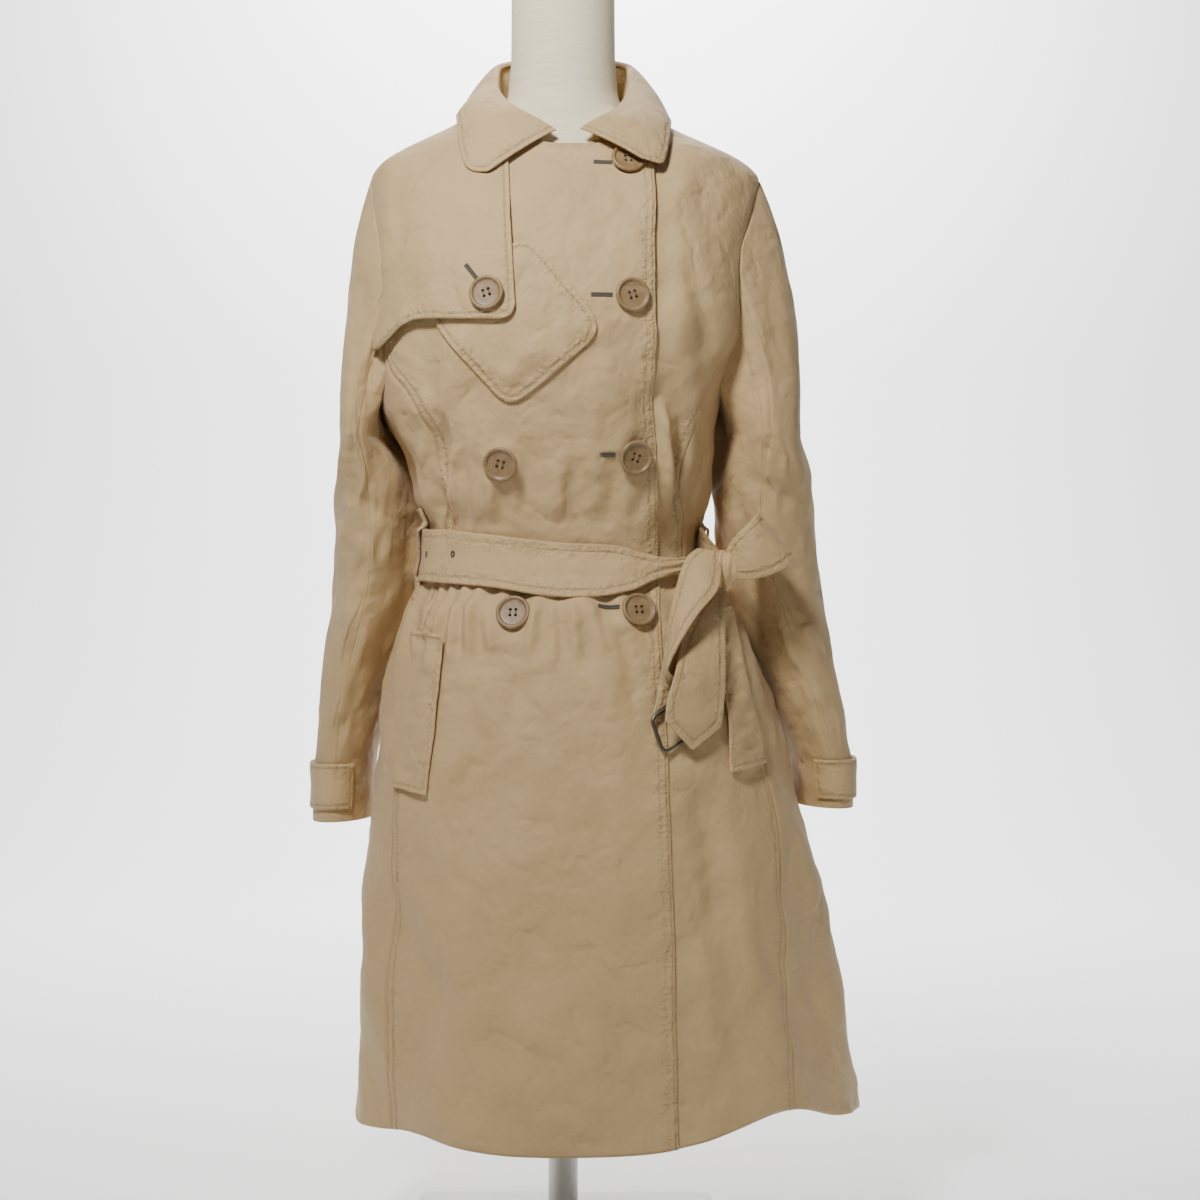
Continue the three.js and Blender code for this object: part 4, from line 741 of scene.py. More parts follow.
def grid_area(grid):
    a, b, c, d = grid[:-1, :-1], grid[:-1, 1:], grid[1:, 1:], grid[1:, :-1]
    return 0.5 * np.linalg.norm(np.cross(c - a, d - b), axis=-1).sum()


def lay_flat(u, v, area):
    """Works out how large the piece's cloth is when it lies flat, but keeps nothing of it."""
    width, length = float(u[:, -1].max()), float(v[-1].max())
    length = max(length, area / width * FLAT_ROOM)


def soften_rim(outer, inner, away, thickness):
    """Rounds the four edges of a wall. away points out of the wall at each place."""
    rim = np.zeros(outer.shape[:2], bool)
    rim[0] = rim[-1] = rim[:, 0] = rim[:, -1] = True
    pull = away * (thickness * RIM_SHARE * rim)[..., None]
    return outer - pull, inner + pull


stitch_paths = {"body": [], "small": [], "belt": []}


def sew(group, grid, away, distance, insets):
    """Adds a line of stitches at each inset from the sides that a distance was measured to."""
    for inset in insets:
        for path in contour(grid + away * STITCH_UP, distance, inset):
            stitch_paths[group].append(path)


def cloth_piece(node, outer, inner, sewn=(), stitched=(), insets=(), group="body", soft=True):
    """A piece of cloth between an outer and an inner grid, with its seams, its stitches and its cut."""
    away = unit(outer - inner)
    thickness = np.linalg.norm(outer - inner, axis=-1).mean()
    dip = SEAM_DIP * np.exp(-((edge_distance(outer, sewn) / SEAM_REACH) ** 2))
    distance = edge_distance(outer, stitched)
    lines = np.full(distance.shape, FAR)
    for inset in insets:
        lines = np.minimum(lines, np.abs(distance - inset))
    groove = GROOVE_DEEP * np.exp(-((lines / GROOVE_REACH) ** 2))
    outer = outer - away * (dip + groove)[..., None]
    inner = inner - away * dip[..., None]
    if insets:
        sew(group, outer, away, distance, insets)
    if soft:
        outer, inner = soften_rim(outer, inner, away, thickness)
    u, v = run_lengths(outer)
    points, faces = closed_wall(outer, inner)
    uv = np.tile(np.stack([u, v], -1).reshape(-1, 2), (2, 1))
    layers = {"line": np.tile(lines.ravel(), 2), "edge": np.tile(distance.ravel(), 2)}
    piece = mesh_piece("coat_" + node, points, faces, finishes["cloth"], [node], uv, layers)
    lay_flat(u, v, grid_area((outer + inner) / 2))


def coat_wall(places, low, high, follow=1.0):
    """The outer and inner grids of a piece that lies on the coat, from its angles, heights and lifts."""
    angle, z, more = np.moveaxis(places, -1, 0)
    more = more + follow * lie(angle, z)
    z = z + hem_lift(angle, z)
    return on_coat(angle, z, more + high), on_coat(angle, z, more + low)


def two_parts(places, split, up, across):
    """A finer grid of places, with a corner kept at one of its rows."""
    lower = refine(places[: split + 1], up, across)
    if split == len(places) - 1:
        return lower
    return np.concatenate([lower, refine(places[split:], up, across)[1:]])


panels = {}
FINE_UP, FINE_ACROSS = 10, 7


def measure_panels():
    over = over_places()
    under = under_places(over)
    last = len(ROWS) - 1
    panels["front_right"] = two_parts(over, last, FINE_UP, FINE_ACROSS)
    panels["front_left"] = two_parts(under, last, FINE_UP, FINE_ACROSS)
    drop = under_drop(panels["front_left"][..., 0], panels["front_left"][..., 1])
    panels["front_left"][..., 2] += drop
    panels["side_right"] = two_parts(side_places(-1, SIDE_COLUMNS), last, FINE_UP, FINE_ACROSS)
    panels["side_left"] = two_parts(side_places(1, SIDE_COLUMNS), last, FINE_UP, FINE_ACROSS)
    panels["back"] = two_parts(back_places(BACK_COLUMNS), last, FINE_UP, FINE_ACROSS)


def sew_body():
    """The five panels of the body."""
    sides = {
        # node: sewn sides, stitched sides, insets of the stitches
        "front_right": (("start",), ("end", "start"), (2.2, 8.5)),
        "front_left": (("start",), ("start",), (7.5,)),
        "side_right": (("start", "end"), (), ()),
        "side_left": (("start", "end"), (), ()),
        "back": (("start", "end"), ("start", "end"), (6.0,)),
    }
    for node, (sewn, stitched, insets) in sides.items():
        outer, inner = coat_wall(panels[node], 0, CLOTH)
        cloth_piece(node, outer, inner, sewn, stitched, insets)


SLEEVES = {
    "right": table("z x y half deep swing crease", [
        (765, -187, 8, 21, 78, 3, 0),
        (733, -182, 12, 31, 72, 5, 1.5),
        (700, -180, 18, 36, 66, 7, -1.5),
        (660, -180, 22, 38, 61, 8, 2),
        (620, -184, 26, 37, 59, 8, -1.5),
        (575, -193, 29, 32, 60, 9, 1.5),
        (530, -201, 32, 28, 60, 10, -1),
        (492, -206, 33, 27, 59, 10, 1),
        (459, -210, 33, 26, 57, 10, 0),
        (437, -211, 33, 26, 56, 10, 0),
        (416, -212, 33, 26, 56, 10, 0),
        (404, -212, 33, 26, 56, 10, 0),
    ]),
    "left": table("z x y half deep swing crease", [
        (765, 190, 8, 35, 74, 3, 0),
        (733, 191, 10, 43, 66, 4, 1.5),
        (700, 191, 13, 46, 60, 5, -1.5),
        (660, 195, 17, 47, 56, 6, 2),
        (620, 204, 21, 43, 56, 8, -1.5),
        (575, 216, 25, 38, 57, 10, 1.5),
        (530, 229, 29, 32, 58, 12, -1),
        (492, 238, 31, 29, 58, 13, 1),
        (463, 246, 32, 26.5, 56, 14, 0),
        (445, 248, 32, 26, 56, 14, 0),
        (426, 249, 32, 25, 55, 14, 0),
        (417, 249, 32, 24.5, 55, 14, 0),
    ]),
}
SLEEVE_CREASES = {
    "right": [
        (-182, 940, -196, 800, 11, -2.2), (-160, 880, -176, 760, 10, 2.4),
        (-206, 720, -160, 690, 8, -2.4), (-214, 690, -168, 640, 9, 2.4),
        (-170, 665, -222, 600, 8, -2.6), (-214, 620, -176, 560, 10, 2.6),
        (-182, 600, -228, 520, 8, -2.0), (-230, 560, -196, 480, 9, 2.0),
        (-186, 520, -222, 470, 7, -1.6), (-204, 900, -206, 700, 14, 1.8),
    ],
    "left": [
        (190, 940, 200, 800, 11, -2.2), (170, 880, 190, 760, 10, 2.4),
        (166, 730, 222, 700, 9, -2.4), (176, 700, 232, 640, 9, 2.6),
        (184, 660, 240, 610, 8, -2.6), (196, 630, 250, 560, 10, 2.6),
        (208, 590, 262, 520, 8, -2.2), (216, 540, 270, 480, 9, 2.0),
        (236, 520, 276, 460, 7, -1.6), (214, 900, 220, 700, 14, 1.8),
    ],
}
SLEEVE_SWELL = {
    # where the rear of the sleeve's inner side swells towards the body: height, reach and how far
    "right": [(692, 114, 11)],
    "left": [(788, 66, 13), (600, 42, 7)],
}
CAP_COLUMNS, RING_COUNT, CAP_TURN = 12, 22, 105
CAP_OUT, SLEEVE_START = {"right": 0.34, "left": 0.46}, 0.6
TUCK_IN, TUCK_UNDER, SLEEVE_CALM = 3.2, 1.0, 0.55
CREASE_SHIFT, SLEEVE_RUMPLE, SLEEVE_ROUND = 24, 0.9, 60
SLEEVE_STILL = (470, 30, 1000, 60)
STRAP_TOP, STRAP_FOOT, STRAP_FRONT, STRAP_LIFT = 8, 10, -2, 3


def armhole_ring(front, behind, scoop):
    """The armhole's edge up the front, down the back and forward again, with the count of its coarse columns."""
    upper = len(UPPER_ROWS) - 1
    tip = (front[-1] + behind[-1]) / 2
    points = np.concatenate([front[:-1], [tip], behind[:-1][::-1], scoop[1:-1][::-1]])
    at = np.concatenate(
        [
            np.linspace(0, upper, len(front))[:-1],
            [upper],
            np.linspace(upper, CAP_COLUMNS, len(behind))[1:],
            np.linspace(CAP_COLUMNS, RING_COUNT, len(scoop))[1:-1],
        ]
    )
    return points, at


def sleeve_turn(at):
    """The direction of the sleeve's columns, from its front seam out and back, then in and forward."""
    upper = CAP_TURN * (1 - 2 * at / CAP_COLUMNS)
    under = -CAP_TURN - (360 - 2 * CAP_TURN) * (at - CAP_COLUMNS) / (RING_COUNT - CAP_COLUMNS)
    return np.radians(np.where(at <= CAP_COLUMNS, upper, under))


def sleeve_sections(side, name, at, rows):
    """The sleeve's rings below its cap. rows counts its sections from 0."""
    shape = SLEEVES[name]
    values = {key: spline(column, rows) for key, column in shape.items()}
    turn = sleeve_turn(at)[None, :]
    count = np.arange(RING_COUNT)
    rings = []
    for z, x, y, half, deep, swing, crease in zip(*values.values()):
        ripple = spline(np.sin(count * 1.9 + z * 0.021), at, closed=True) * crease
        across = np.cos(turn[0]) * (half + ripple)
        ahead = np.sin(turn[0]) * (deep + ripple)
        tilt = math.radians(swing)
        rings.append(
            np.stack(
                [
                    x + side * (across * math.cos(tilt) + ahead * math.sin(tilt)),
                    y - ahead * math.cos(tilt) + across * math.sin(tilt),
                    np.full(len(at), z),
                ],
                -1,
            )
        )
    return np.array(rings)


def sleeve_grid(side, name, ring, at):
    body = sleeve_sections(side, name, at, fine_steps(len(SLEEVES[name]["z"]) - 1, 9))
    start = ring + np.array([side * SLEEVE_START, 0, 0])
    reach = np.linalg.norm(start - body[0], axis=-1, keepdims=True)
    away = unit(np.array([side * CAP_OUT[name], 0, -1.0])) * reach
    tuck = ring + unit(ring * np.array([-1, -1, 0])) * TUCK_IN + np.array([0, 0, -TUCK_UNDER])
    down = np.array([0, 0, -1.0]) * reach
    cap = []
    for t in np.concatenate([[0, 0.008, 0.02, 0.04], np.linspace(0.06, 0.98, 44)]):
        u = 1 - t
        cap.append(start * u * u * (1 + 2 * t) + away * t * u * u + body[0] * t * t * (3 - 2 * t) - down * t * t * u)
    return np.concatenate([[tuck], cap, body])


def ring_away(grid):
    normals = grid_normals(grid, closed=True)
    centre = grid.mean(1, keepdims=True)
    return normals * np.sign((normals * (grid - centre)).sum((1, 2)))[:, None, None]


def trimmed(grid, trim=SEAM_GAP / 2):
    """A grid with its first and last columns drawn in."""
    grid = grid.copy()
    for end, beside in ((0, 1), (-1, -2)):
        grid[:, end] += unit(grid[:, beside] - grid[:, end]) * trim
    return grid


def sleeve_lie(name, grid, away):
    """The sleeve's creases at each of its points."""
    facing = smooth(-away[..., 1] / 0.5)
    behind = smooth(away[..., 1] / 0.5)
    x, z = grid[..., 0], grid[..., 2]
    shown = crease_depth(SLEEVE_CREASES[name], x, z)
    mirrored = crease_depth(SLEEVE_CREASES[name], x, z + CREASE_SHIFT)
    turn = np.arctan2(away[..., 0], away[..., 1])
    soft = surface_wave(SLEEVE_WAVES, turn, z) + SLEEVE_RUMPLE * rumple(turn * SLEEVE_ROUND, z)
    depth = facing * shown + behind * mirrored + soft
    cuff, cuff_fade, cap, cap_fade = SLEEVE_STILL
    calm = smooth((z - cuff) / cuff_fade) * smooth((cap - z) / cap_fade)
    inward = smooth((-away[..., 0] * np.sign(x) - 0.2) / 0.6) * smooth((grid[..., 1] + 5) / 30)
    swell = sum(out * np.exp(-(((z - at) / reach) ** 4)) for at, reach, out in SLEEVE_SWELL[name])
    return SLEEVE_CALM * depth * calm + inward * swell


def sew_sleeve(name, side, front, behind, scoop):
    ring, at = armhole_ring(front, behind, scoop)
    grid = sleeve_grid(side, name, ring, at)
    away = ring_away(grid)
    grid = grid + away * sleeve_lie(name, grid, away)[..., None]
    away = ring_away(grid)
    split = len(front) + len(behind) - 2
    wrapped = np.concatenate([grid[:, split:], grid[:, :1]], 1)
    out_wrapped = np.concatenate([away[:, split:], away[:, :1]], 1)
    cut = [
        ("upper", grid[:, : split + 1], away[:, : split + 1], "end"),
        ("under", wrapped, out_wrapped, "start"),
    ]
    for part, run, out, back_seam in cut:
        node = f"sleeve_{part}_{name}"
        cloth_piece(node, run, run - out * CLOTH, (back_seam,), soft=False)
    sew_strap(name, side)


def sew_strap(name, side):
    """The strap round the cuff, from just behind the front seam to the back seam."""
    share = np.linspace(0, 1, 26)
    rows = mix(STRAP_TOP, STRAP_FOOT, share)
    columns_at = np.linspace(STRAP_FRONT, CAP_COLUMNS, 150)
    grid = sleeve_sections(side, name, columns_at % RING_COUNT, rows)
    closed = sleeve_sections(side, name, np.linspace(0, RING_COUNT, 160, endpoint=False), rows)
    centre = closed.mean(1, keepdims=True)
    away = grid_normals(grid)
    away = away * np.sign((away * (grid - centre)).sum((1, 2)))[:, None, None]
    middle_at = CAP_COLUMNS / 2
    stand = np.cos(np.clip(np.abs(columns_at - middle_at) / 3.5, 0, 1) * math.pi / 2)
    rise = np.clip(1 - 2 * share, 0, 1)[:, None]
    lifted = LAYER_GAP + STRAP_LIFT * stand[None, :] * rise
    outer = grid + away * (lifted + LINED)[..., None]
    inner = grid + away * lifted[..., None]
    node = f"cuff_strap_{name}"
    cloth_piece(
        node, trimmed(outer), trimmed(inner),
        (), ("start", "end", "bottom", "top"), (4.0,), "small",
    )


def sew_sleeves():
    """Both sleeves, each from its armhole's edge on the body's panels."""
    upper_from = len(fine_steps(len(ROWS) - 1, FINE_UP)) - 1

    def outside(places):
        angle, z, more = places.T
        return on_coat(angle, z, more + CLOTH + lie(angle, z))

    def edge(node, column):
        return outside(panels[node][upper_from:, column])

    def scoop(node):
        return outside(panels[node][-1])

    sew_sleeve("right", -1, edge("front_right", 0), edge("back", 0), scoop("side_right"))
    sew_sleeve("left", 1, edge("front_left", 0), edge("back", -1), scoop("side_left"))


COLLAR = table("at roll_x roll_y roll_z edge_x edge_y edge_z", [
    (0, -5, -73, 1043, -72, -92, 997),
    (0.8, -20, -70, 1052, -88, -81, 1009),
    (1.6, -38, -60, 1064, -95, -67, 1031),
    (2.4, -53, -40, 1078, -98, -48, 1053),
    (3.3, -65, -13, 1100, -101, -13, 1070),
    (4.5, -67, 20, 1124, -99, 28, 1074),
    (5.8, -51, 52, 1138, -74, 68, 1080),
    (7, 0, 68, 1145, 0, 90, 1086),
    (8.2, 51, 52, 1138, 74, 68, 1080),
    (9.5, 67, 20, 1124, 100, 28, 1072),
    (10.7, 66, -13, 1100, 103, -12, 1065),
    (11.6, 58, -38, 1078, 101, -44, 1048),
    (12.4, 47, -57, 1064, 98, -64, 1028),
    (13.2, 32, -68, 1054, 93, -79, 1012),
    (14, 17, -75, 1044, 81, -91, 1009),
])
COLLAR_CORNER = 12
CURL_RADIUS, CURL_END, CURL_TURN = 4.2, 0.5, 2.3
FALL_BULGE, STAND_OPEN, STAND_DROP, STAND_IN, NECK_SEAM = 11, 0.075, 5, 1.2, 1.7
collar = reader(COLLAR, "at")


def collar_points(at):
    roll = np.stack([collar["roll_x"](at), collar["roll_y"](at), collar["roll_z"](at)], -1)
    edge = np.stack([collar["edge_x"](at), collar["edge_y"](at), collar["edge_z"](at)], -1)
    flat = roll * np.array([1, 1, 0])
    out = unit(unit(flat) + np.array([0, 0, 0.8]))
    bulge = FALL_BULGE * np.minimum(1, 0.3 + np.minimum(at, COLLAR["at"][-1] - at))
    return roll, edge, mix(roll, edge, 0.4) + out * bulge[:, None]


def neck_points(t):
    """The neckline from its right front, round the back, to its left front."""
    points = []
    for q in t * 4:
        behind = 1 <= q <= 3
        if behind:
            x, z = back_neck_place((q - 1) / 2)
        else:
            x, z = front_neck_place(-1, 1 - q) if q < 1 else front_neck_place(1, q - 3)
        points.append(on_coat(angle_at(x, z, behind), z, CLOTH) + np.array([0, 0, NECK_SEAM]))
    return np.array(points)


def sew_collar():
    """The collar's stand, sewn along the neckline, and the leaf that falls from its roll."""
    t = close_ends((0.0012, 0.003), 230)
    within = mix(STAND_OPEN, 1 - STAND_OPEN, t)
    roll, edge, control = collar_points(within * COLLAR["at"][-1])
    inward = unit(-roll * np.array([1, 1, 0])) * STAND_IN
    top = roll + inward + np.array([0, 0, -STAND_DROP])
    foot = neck_points(within)
    share = np.linspace(0, 1, 22)[:, None, None]
    stand = foot * (1 - share) + top * share
    away = -grid_normals(stand)
    cloth_piece(
        "collar_stand", stand, stand - away * LINED,
        ("bottom",), ("bottom",), (4.0,), "small",
    )
    roll, edge, control = collar_points(t * COLLAR["at"][-1])
    share = np.concatenate([np.linspace(0, 0.94, 44), [0.965, 0.985, 1]])[:, None, None]
    fall = roll * (1 - share) ** 2 + control * 2 * share * (1 - share) + edge * share**2
    fall = round_corner(fall, "start", "top", COLLAR_CORNER)
    fall = round_corner(fall, "end", "top", COLLAR_CORNER)
    away = grid_normals(fall)
    height = 0.9 * np.sin(t * 37 + 1) + 0.6 * np.sin(t * 71)
    fall = fall + away * (height[None, :] * (share[..., 0] * (1 - share[..., 0]) * 4))[..., None]
    radius = mix(CURL_END, CURL_RADIUS, smooth(np.minimum(t, 1 - t) / 0.07))[:, None]
    onward = unit(control - roll)
    turn = np.linspace(1, 0, 16)[:-1, None, None] * CURL_TURN * (radius / CURL_RADIUS)
    curl = roll - away[0] * radius * (1 - np.cos(turn)) - onward * radius * np.sin(turn)
    fall = np.concatenate([curl, fall])
    away = grid_normals(fall)
    cloth_piece(
        "collar_fall", fall, fall - away * LINED,
        (), ("start", "end", "top"), (5.0,), "small",
    )


FLAP = {"corner": (-38, 860), "neck": 0.42, "lift": 7, "round": 15, "shoulder": 1.1, "split": 0.6, "fade": 70}
FLAP_OVER_TAB = {"top": 978, "up": 26, "side": -150, "across": 40}
FLAP_AT_SHOULDER = {"low": 1005, "up": 40, "side": -60, "across": 20}
FLAP_EDGE = table(
    "t x z",
    [(0, -158, 842), (0.1, -148, 850), (0.2, -136, 860), (0.3, -124, 864), (0.6, -90, 862), (1, -44, 860)],
)
FLAP_UP = CLOTH + LAYER_GAP + 0.4
flap_edge = reader(FLAP_EDGE, "t")


def flap_height(x, z):
    """How far the flap lies above the front: more over the tab, and most at its loose corner by the arm."""
    tab, top = FLAP_OVER_TAB, FLAP_AT_SHOULDER
    low = 1 - smooth((z - FLAP_EDGE["z"][0]) / FLAP["fade"])
    arm = 1 - smooth((x - FLAP_EDGE["x"][0]) / FLAP["fade"])
    over_tab = smooth((tab["top"] - z) / tab["up"]) * smooth((x - tab["side"]) / tab["across"])
    shoulder = smooth((z - top["low"]) / top["up"]) * smooth((top["side"] - x) / top["across"])
    lifted = FLAP["lift"] * low * mix(0.35, 1, arm)
    return FLAP_UP + over_tab * (LINED + LAYER_GAP) + lifted + FLAP["shoulder"] * shoulder


def flap_places():
    """The flap's places by x and z, between its loose lower edge and the shoulder seam and neckline."""
    split = FLAP["split"]
    u, v = close_ends((0.004, 0.01), 84), close_ends((0.004, 0.01), 96)
    bottom = np.stack([flap_edge["x"](u), flap_edge["z"](u)], -1)
    z = mix(bottom[0, 1], SHOULDER_TIP - 3, v)
    start = np.stack([middle(z) - half_width(z) * np.minimum(armhole["front"](z), 0.985) + 2.5, z], -1)
    start[0] = bottom[0]
    shoulder = shoulder_place(-1, np.minimum(u, split) / split) * np.array([0.985, 1]) - np.array([0, 3])
    neck = front_neck_place(-1, FLAP["neck"] * np.maximum(u - split, 0) / (1 - split))
    neck = neck * np.array([1.02, 1]) - np.array([0, 4])
    top = np.where(u[:, None] <= split, shoulder, neck)
    for _ in range(60):
        top[1:-1] = (top[:-2] + 2 * top[1:-1] + top[2:]) / 4
    start[-1] = top[0]
    corner_x, corner_z = FLAP["corner"]
    end = np.stack([mix(corner_x, top[-1, 0], v), mix(corner_z, top[-1, 1], v)], -1)
    bottom[:, 0] += (corner_x - bottom[-1, 0]) * smooth((u - 0.8) / 0.2)
    return patch(bottom, top, start, end, v)


def gathered(node, angle, z):
    """How far the gathers of a panel lift its cloth at places below the armhole."""
    grid = panels[node]
    rows = grid[:, 0, 1]

    def one(a, height):
        j = int(np.clip(np.searchsorted(rows, height) - 1, 0, len(rows) - 2))
        near = [np.interp(a, grid[k, :, 0], grid[k, :, 2]) for k in (j, j + 1)]
        return mix(near[0], near[1], (height - rows[j]) / (rows[j + 1] - rows[j]))

    return np.vectorize(one)(angle, z)


def on_front(places, low, high):
    """The outer and inner grids of a piece that lies on the front, from its places by x and z."""
    x, z = places[..., 0], places[..., 1]
    return coat_wall(np.stack([angle_at(x, z), z, np.zeros_like(x)], -1), low, high)


TAB = {"x": -39, "z": 859.5, "half": 56.5, "turn": 40, "square": 6}


def sew_flap_and_tab():
    """The flap that hangs on the right chest, and the rounded tab that hangs turned below it."""
    places = flap_places()
    low = flap_height(places[..., 0], places[..., 1])
    outer, inner = on_front(places, low, low + LINED)
    outer = round_corner(outer, "end", "bottom", FLAP["round"])
    inner = round_corner(inner, "end", "bottom", FLAP["round"])
    cloth_piece(
        "gun_flap", outer, inner,
        (), ("bottom", "end"), (5.0,), "small",
    )
    half, turn, square = TAB["half"], math.radians(TAB["turn"]), TAB["square"]
    side = 2 * close_ends((0.004, 0.01), 72) - 1
    a, b = np.meshgrid(side, side)
    longer = np.maximum(np.maximum(np.abs(a), np.abs(b)), 1e-9)
    rounding = (1 + (np.minimum(np.abs(a), np.abs(b)) / longer) ** square) ** (-1 / square)
    across, up = half * a * rounding, half * b * rounding
    x = TAB["x"] + across * math.cos(turn) - up * math.sin(turn)
    z = TAB["z"] + across * math.sin(turn) + up * math.cos(turn)
    outer, inner = on_front(np.stack([x, z], -1), CLOTH + LAYER_GAP, CLOTH + LAYER_GAP + LINED)
    cloth_piece(
        "chest_tab", outer, inner,
        (), ("start", "end", "bottom", "top"), (5.0,), "small",
    )


WELTS = {
    "right": {"low_seam": (-147, 444), "low": (-116, 438), "high_seam": (-128, 583), "high": (-101, 579)},
    "left": {"low_seam": (184, 465), "low": (148, 458), "high_seam": (147, 604), "high": (136, 601)},
}
WELT_UP, WELT_LONG = CLOTH + 0.75, 150


def sew_welts():
    """The welts that cover the two pockets."""
    for name, welt in WELTS.items():
        side = math.copysign(1, welt["low"][0])
        seam = seams["princess_r" if side < 0 else "princess_l"]
        v = close_ends((0.006, 0.015), 60)[:, None]
        u = close_ends((0.02, 0.06), 18)[None, :]
        seam_z = mix(welt["low_seam"][1], welt["high_seam"][1], v)
        z = mix(welt["low"][1], welt["high"][1], v)
        first = angle_at(seam(seam_z) - side * 1.5, seam_z)
        last = angle_at(mix(welt["low"][0], welt["high"][0], v), z)
        roll = 3.0 * np.exp(-(((1 - v) * WELT_LONG / 7) ** 2)) + 1.8 * np.exp(-((v * WELT_LONG / 6) ** 2))
        crease = 0.8 * np.sin(v * 31 + u * 3) + 0.6 * np.sin(v * 53 - u * 4) + 0.3 * np.sin(v * 90 + u)
        swell = 1.5 * np.sin(math.pi * np.clip(v, 0, 1)) * u
        lifted = WELT_UP + 2.5 * v * v + roll * np.sin(math.pi * (0.25 + u / 2)) + swell + crease * np.sin(math.pi * u)
        places = np.stack([mix(first, last, u), mix(seam_z, z, u), lifted], -1)
        outer, inner = coat_wall(places, 0, LINED)
        cloth_piece(
            f"pocket_welt_{name}", outer, inner,
            (), ("end", "bottom", "top"), (4.5,), "small",
        )


BELT = table("at low high off", [
    (-309, 653, 664, 12),
    (-298, 645, 674, 5),
    (-284, 635, 682, 0.4),
    (-255, 630, 682, 0),
    (-180, 630, 682, 0),
    (-90, 629, 681, 0),
    (-60, 627, 679, 0),
    (-30, 623, 674, 0),
    (3, 613, 665, 0),
    (20, 618, 663, 0),
    (33, 627, 655, 1),
    (44, 631, 648, 4),
    (54, 634, 646, 11.5),
])
belt_edges = reader(BELT, "at")
BELT_UP, BELT_RISE, BELT_THICK, BELT_WIDE, BELT_INSET = CLOTH + 3.2, 2.5, 2.6, 52, 6.5
CARRIER = table(
    "z up",
    [(699, 1.2), (689, 1.6), (685, 4), (681.5, 9.5), (656, 10.5), (635, 9.5), (628, 6.5), (621, 2.4), (613, 1.5)],
)
BELT_PINCH = (25, 20, -292, 12)
CARRIER_HALF, CARRIER_TOP, CARRIER_FOOT, CARRIER_BEND = 3.2, 679, 631, 5
CARRIERS = {"right": -78, "left": -276}
RIBBONS = {
    # from the knot outwards: edge a by x, y, z, edge b by x, y, z, and how far the middle bows to the front
    "belt_tail_buckle": [
        (124, -73, 660, 146, -70, 656, 2),
        (113, -81, 650, 145, -84, 640, 5),
        (105, -89, 628, 140, -102, 621, 7),
        (98, -106, 600, 122, -122, 600, 6),
        (94, -116, 572, 104, -138, 573, 5),
        (90, -127, 548, 95, -144, 552, 4),
        (85, -134, 526, 110, -126, 540, 1),
        (81.5, -138, 513, 127, -114, 541, 0),
    ],
    "belt_tail_point": [
        (139, -69, 640, 157, -64, 641, 0),
        (132, -74, 621.4, 152, -67, 622.9, 2),
        (121, -92, 603, 148, -80, 606, 3),
        (108, -114, 577, 148, -92, 577, 4),
        (101, -140.2, 549, 147, -114, 544, 4),
        (94, -148, 525, 145, -122, 520, 3),
        (92, -149, 508, 143, -126, 503, 2),
    ],
    "belt_loop": [
        (151, -72, 633, 150, -72, 657, 0),
        (162, -79, 632, 156, -79, 668, 2),
        (174, -84, 632, 162, -84, 675, 3.5),
        (187, -86, 635, 168, -86, 681, 4),
        (200, -85, 641, 173, -85, 686, 3),
        (209, -81, 647, 177, -80, 690, 1),
        (213, -74, 650, 179, -73, 692, 0),
        (208, -66, 648, 176, -66, 689, -1),
        (193, -61, 642, 168, -61, 679, -2),
        (177, -61, 637, 160, -61, 667, -1),
        (156, -65, 636, 151, -65, 656, 0),
    ],
}
TAIL_TIP = (-1, 2, -24)
KNOT = {"x": 151.5, "y": -68, "z": 641, "deep": 8, "tall": 11.5, "half": 10.5, "thick": 6.5}


def ribbon_grid(name):
    """A loose length of the belt between its two edges."""
    rows = spline(np.array(RIBBONS[name], float), fine_steps(len(RIBBONS[name]) - 1, 12))
    u = close_ends((0.012, 0.03), 30)
    grid = rows[:, None, :3] * (1 - u)[None, :, None] + rows[:, None, 3:6] * u[None, :, None]
    grid[..., 1] -= rows[:, 6:] * np.sin(math.pi * u)
    if name != "belt_tail_point":
        return grid
    share = 1 - np.abs(u - 0.5) / 0.5
    reach = np.array([0, 0, -1.0]) + np.array(TAIL_TIP, float) * share[:, None]
    s = np.concatenate([np.linspace(0, 1, 24)[1:-1], [0.985, 1]])
    return np.concatenate([grid, grid[-1] + s[:, None, None] * reach])


def sew_ribbon(name, stitched):
    grid = ribbon_grid(name)
    away = grid_normals(grid)
    away = away * (-1 if away[0].mean(0)[1] > 0 else 1)
    u, v = run_lengths(grid)
    width = u[:, -1:] + 1e-6
    ripple = 0.45 * np.sin(v / 11 + 3 * u / width) + 0.3 * np.sin(v / 6.3 + 1)
    bulge = 0.5 * np.sin(math.pi * u / width)
    grid = grid + away * (ripple * bulge)[..., None]
    outer, inner = grid + away * BELT_THICK / 2, grid - away * BELT_THICK / 2
    cloth_piece(name, outer, inner, (), stitched, (BELT_INSET,), "belt")


KNOT_ENDS = {"front": (148, -69, 633, 650), "side": (147, -63, 638, 656)}
SIDE_LEAVES, KNOT_START = -286, 0.12


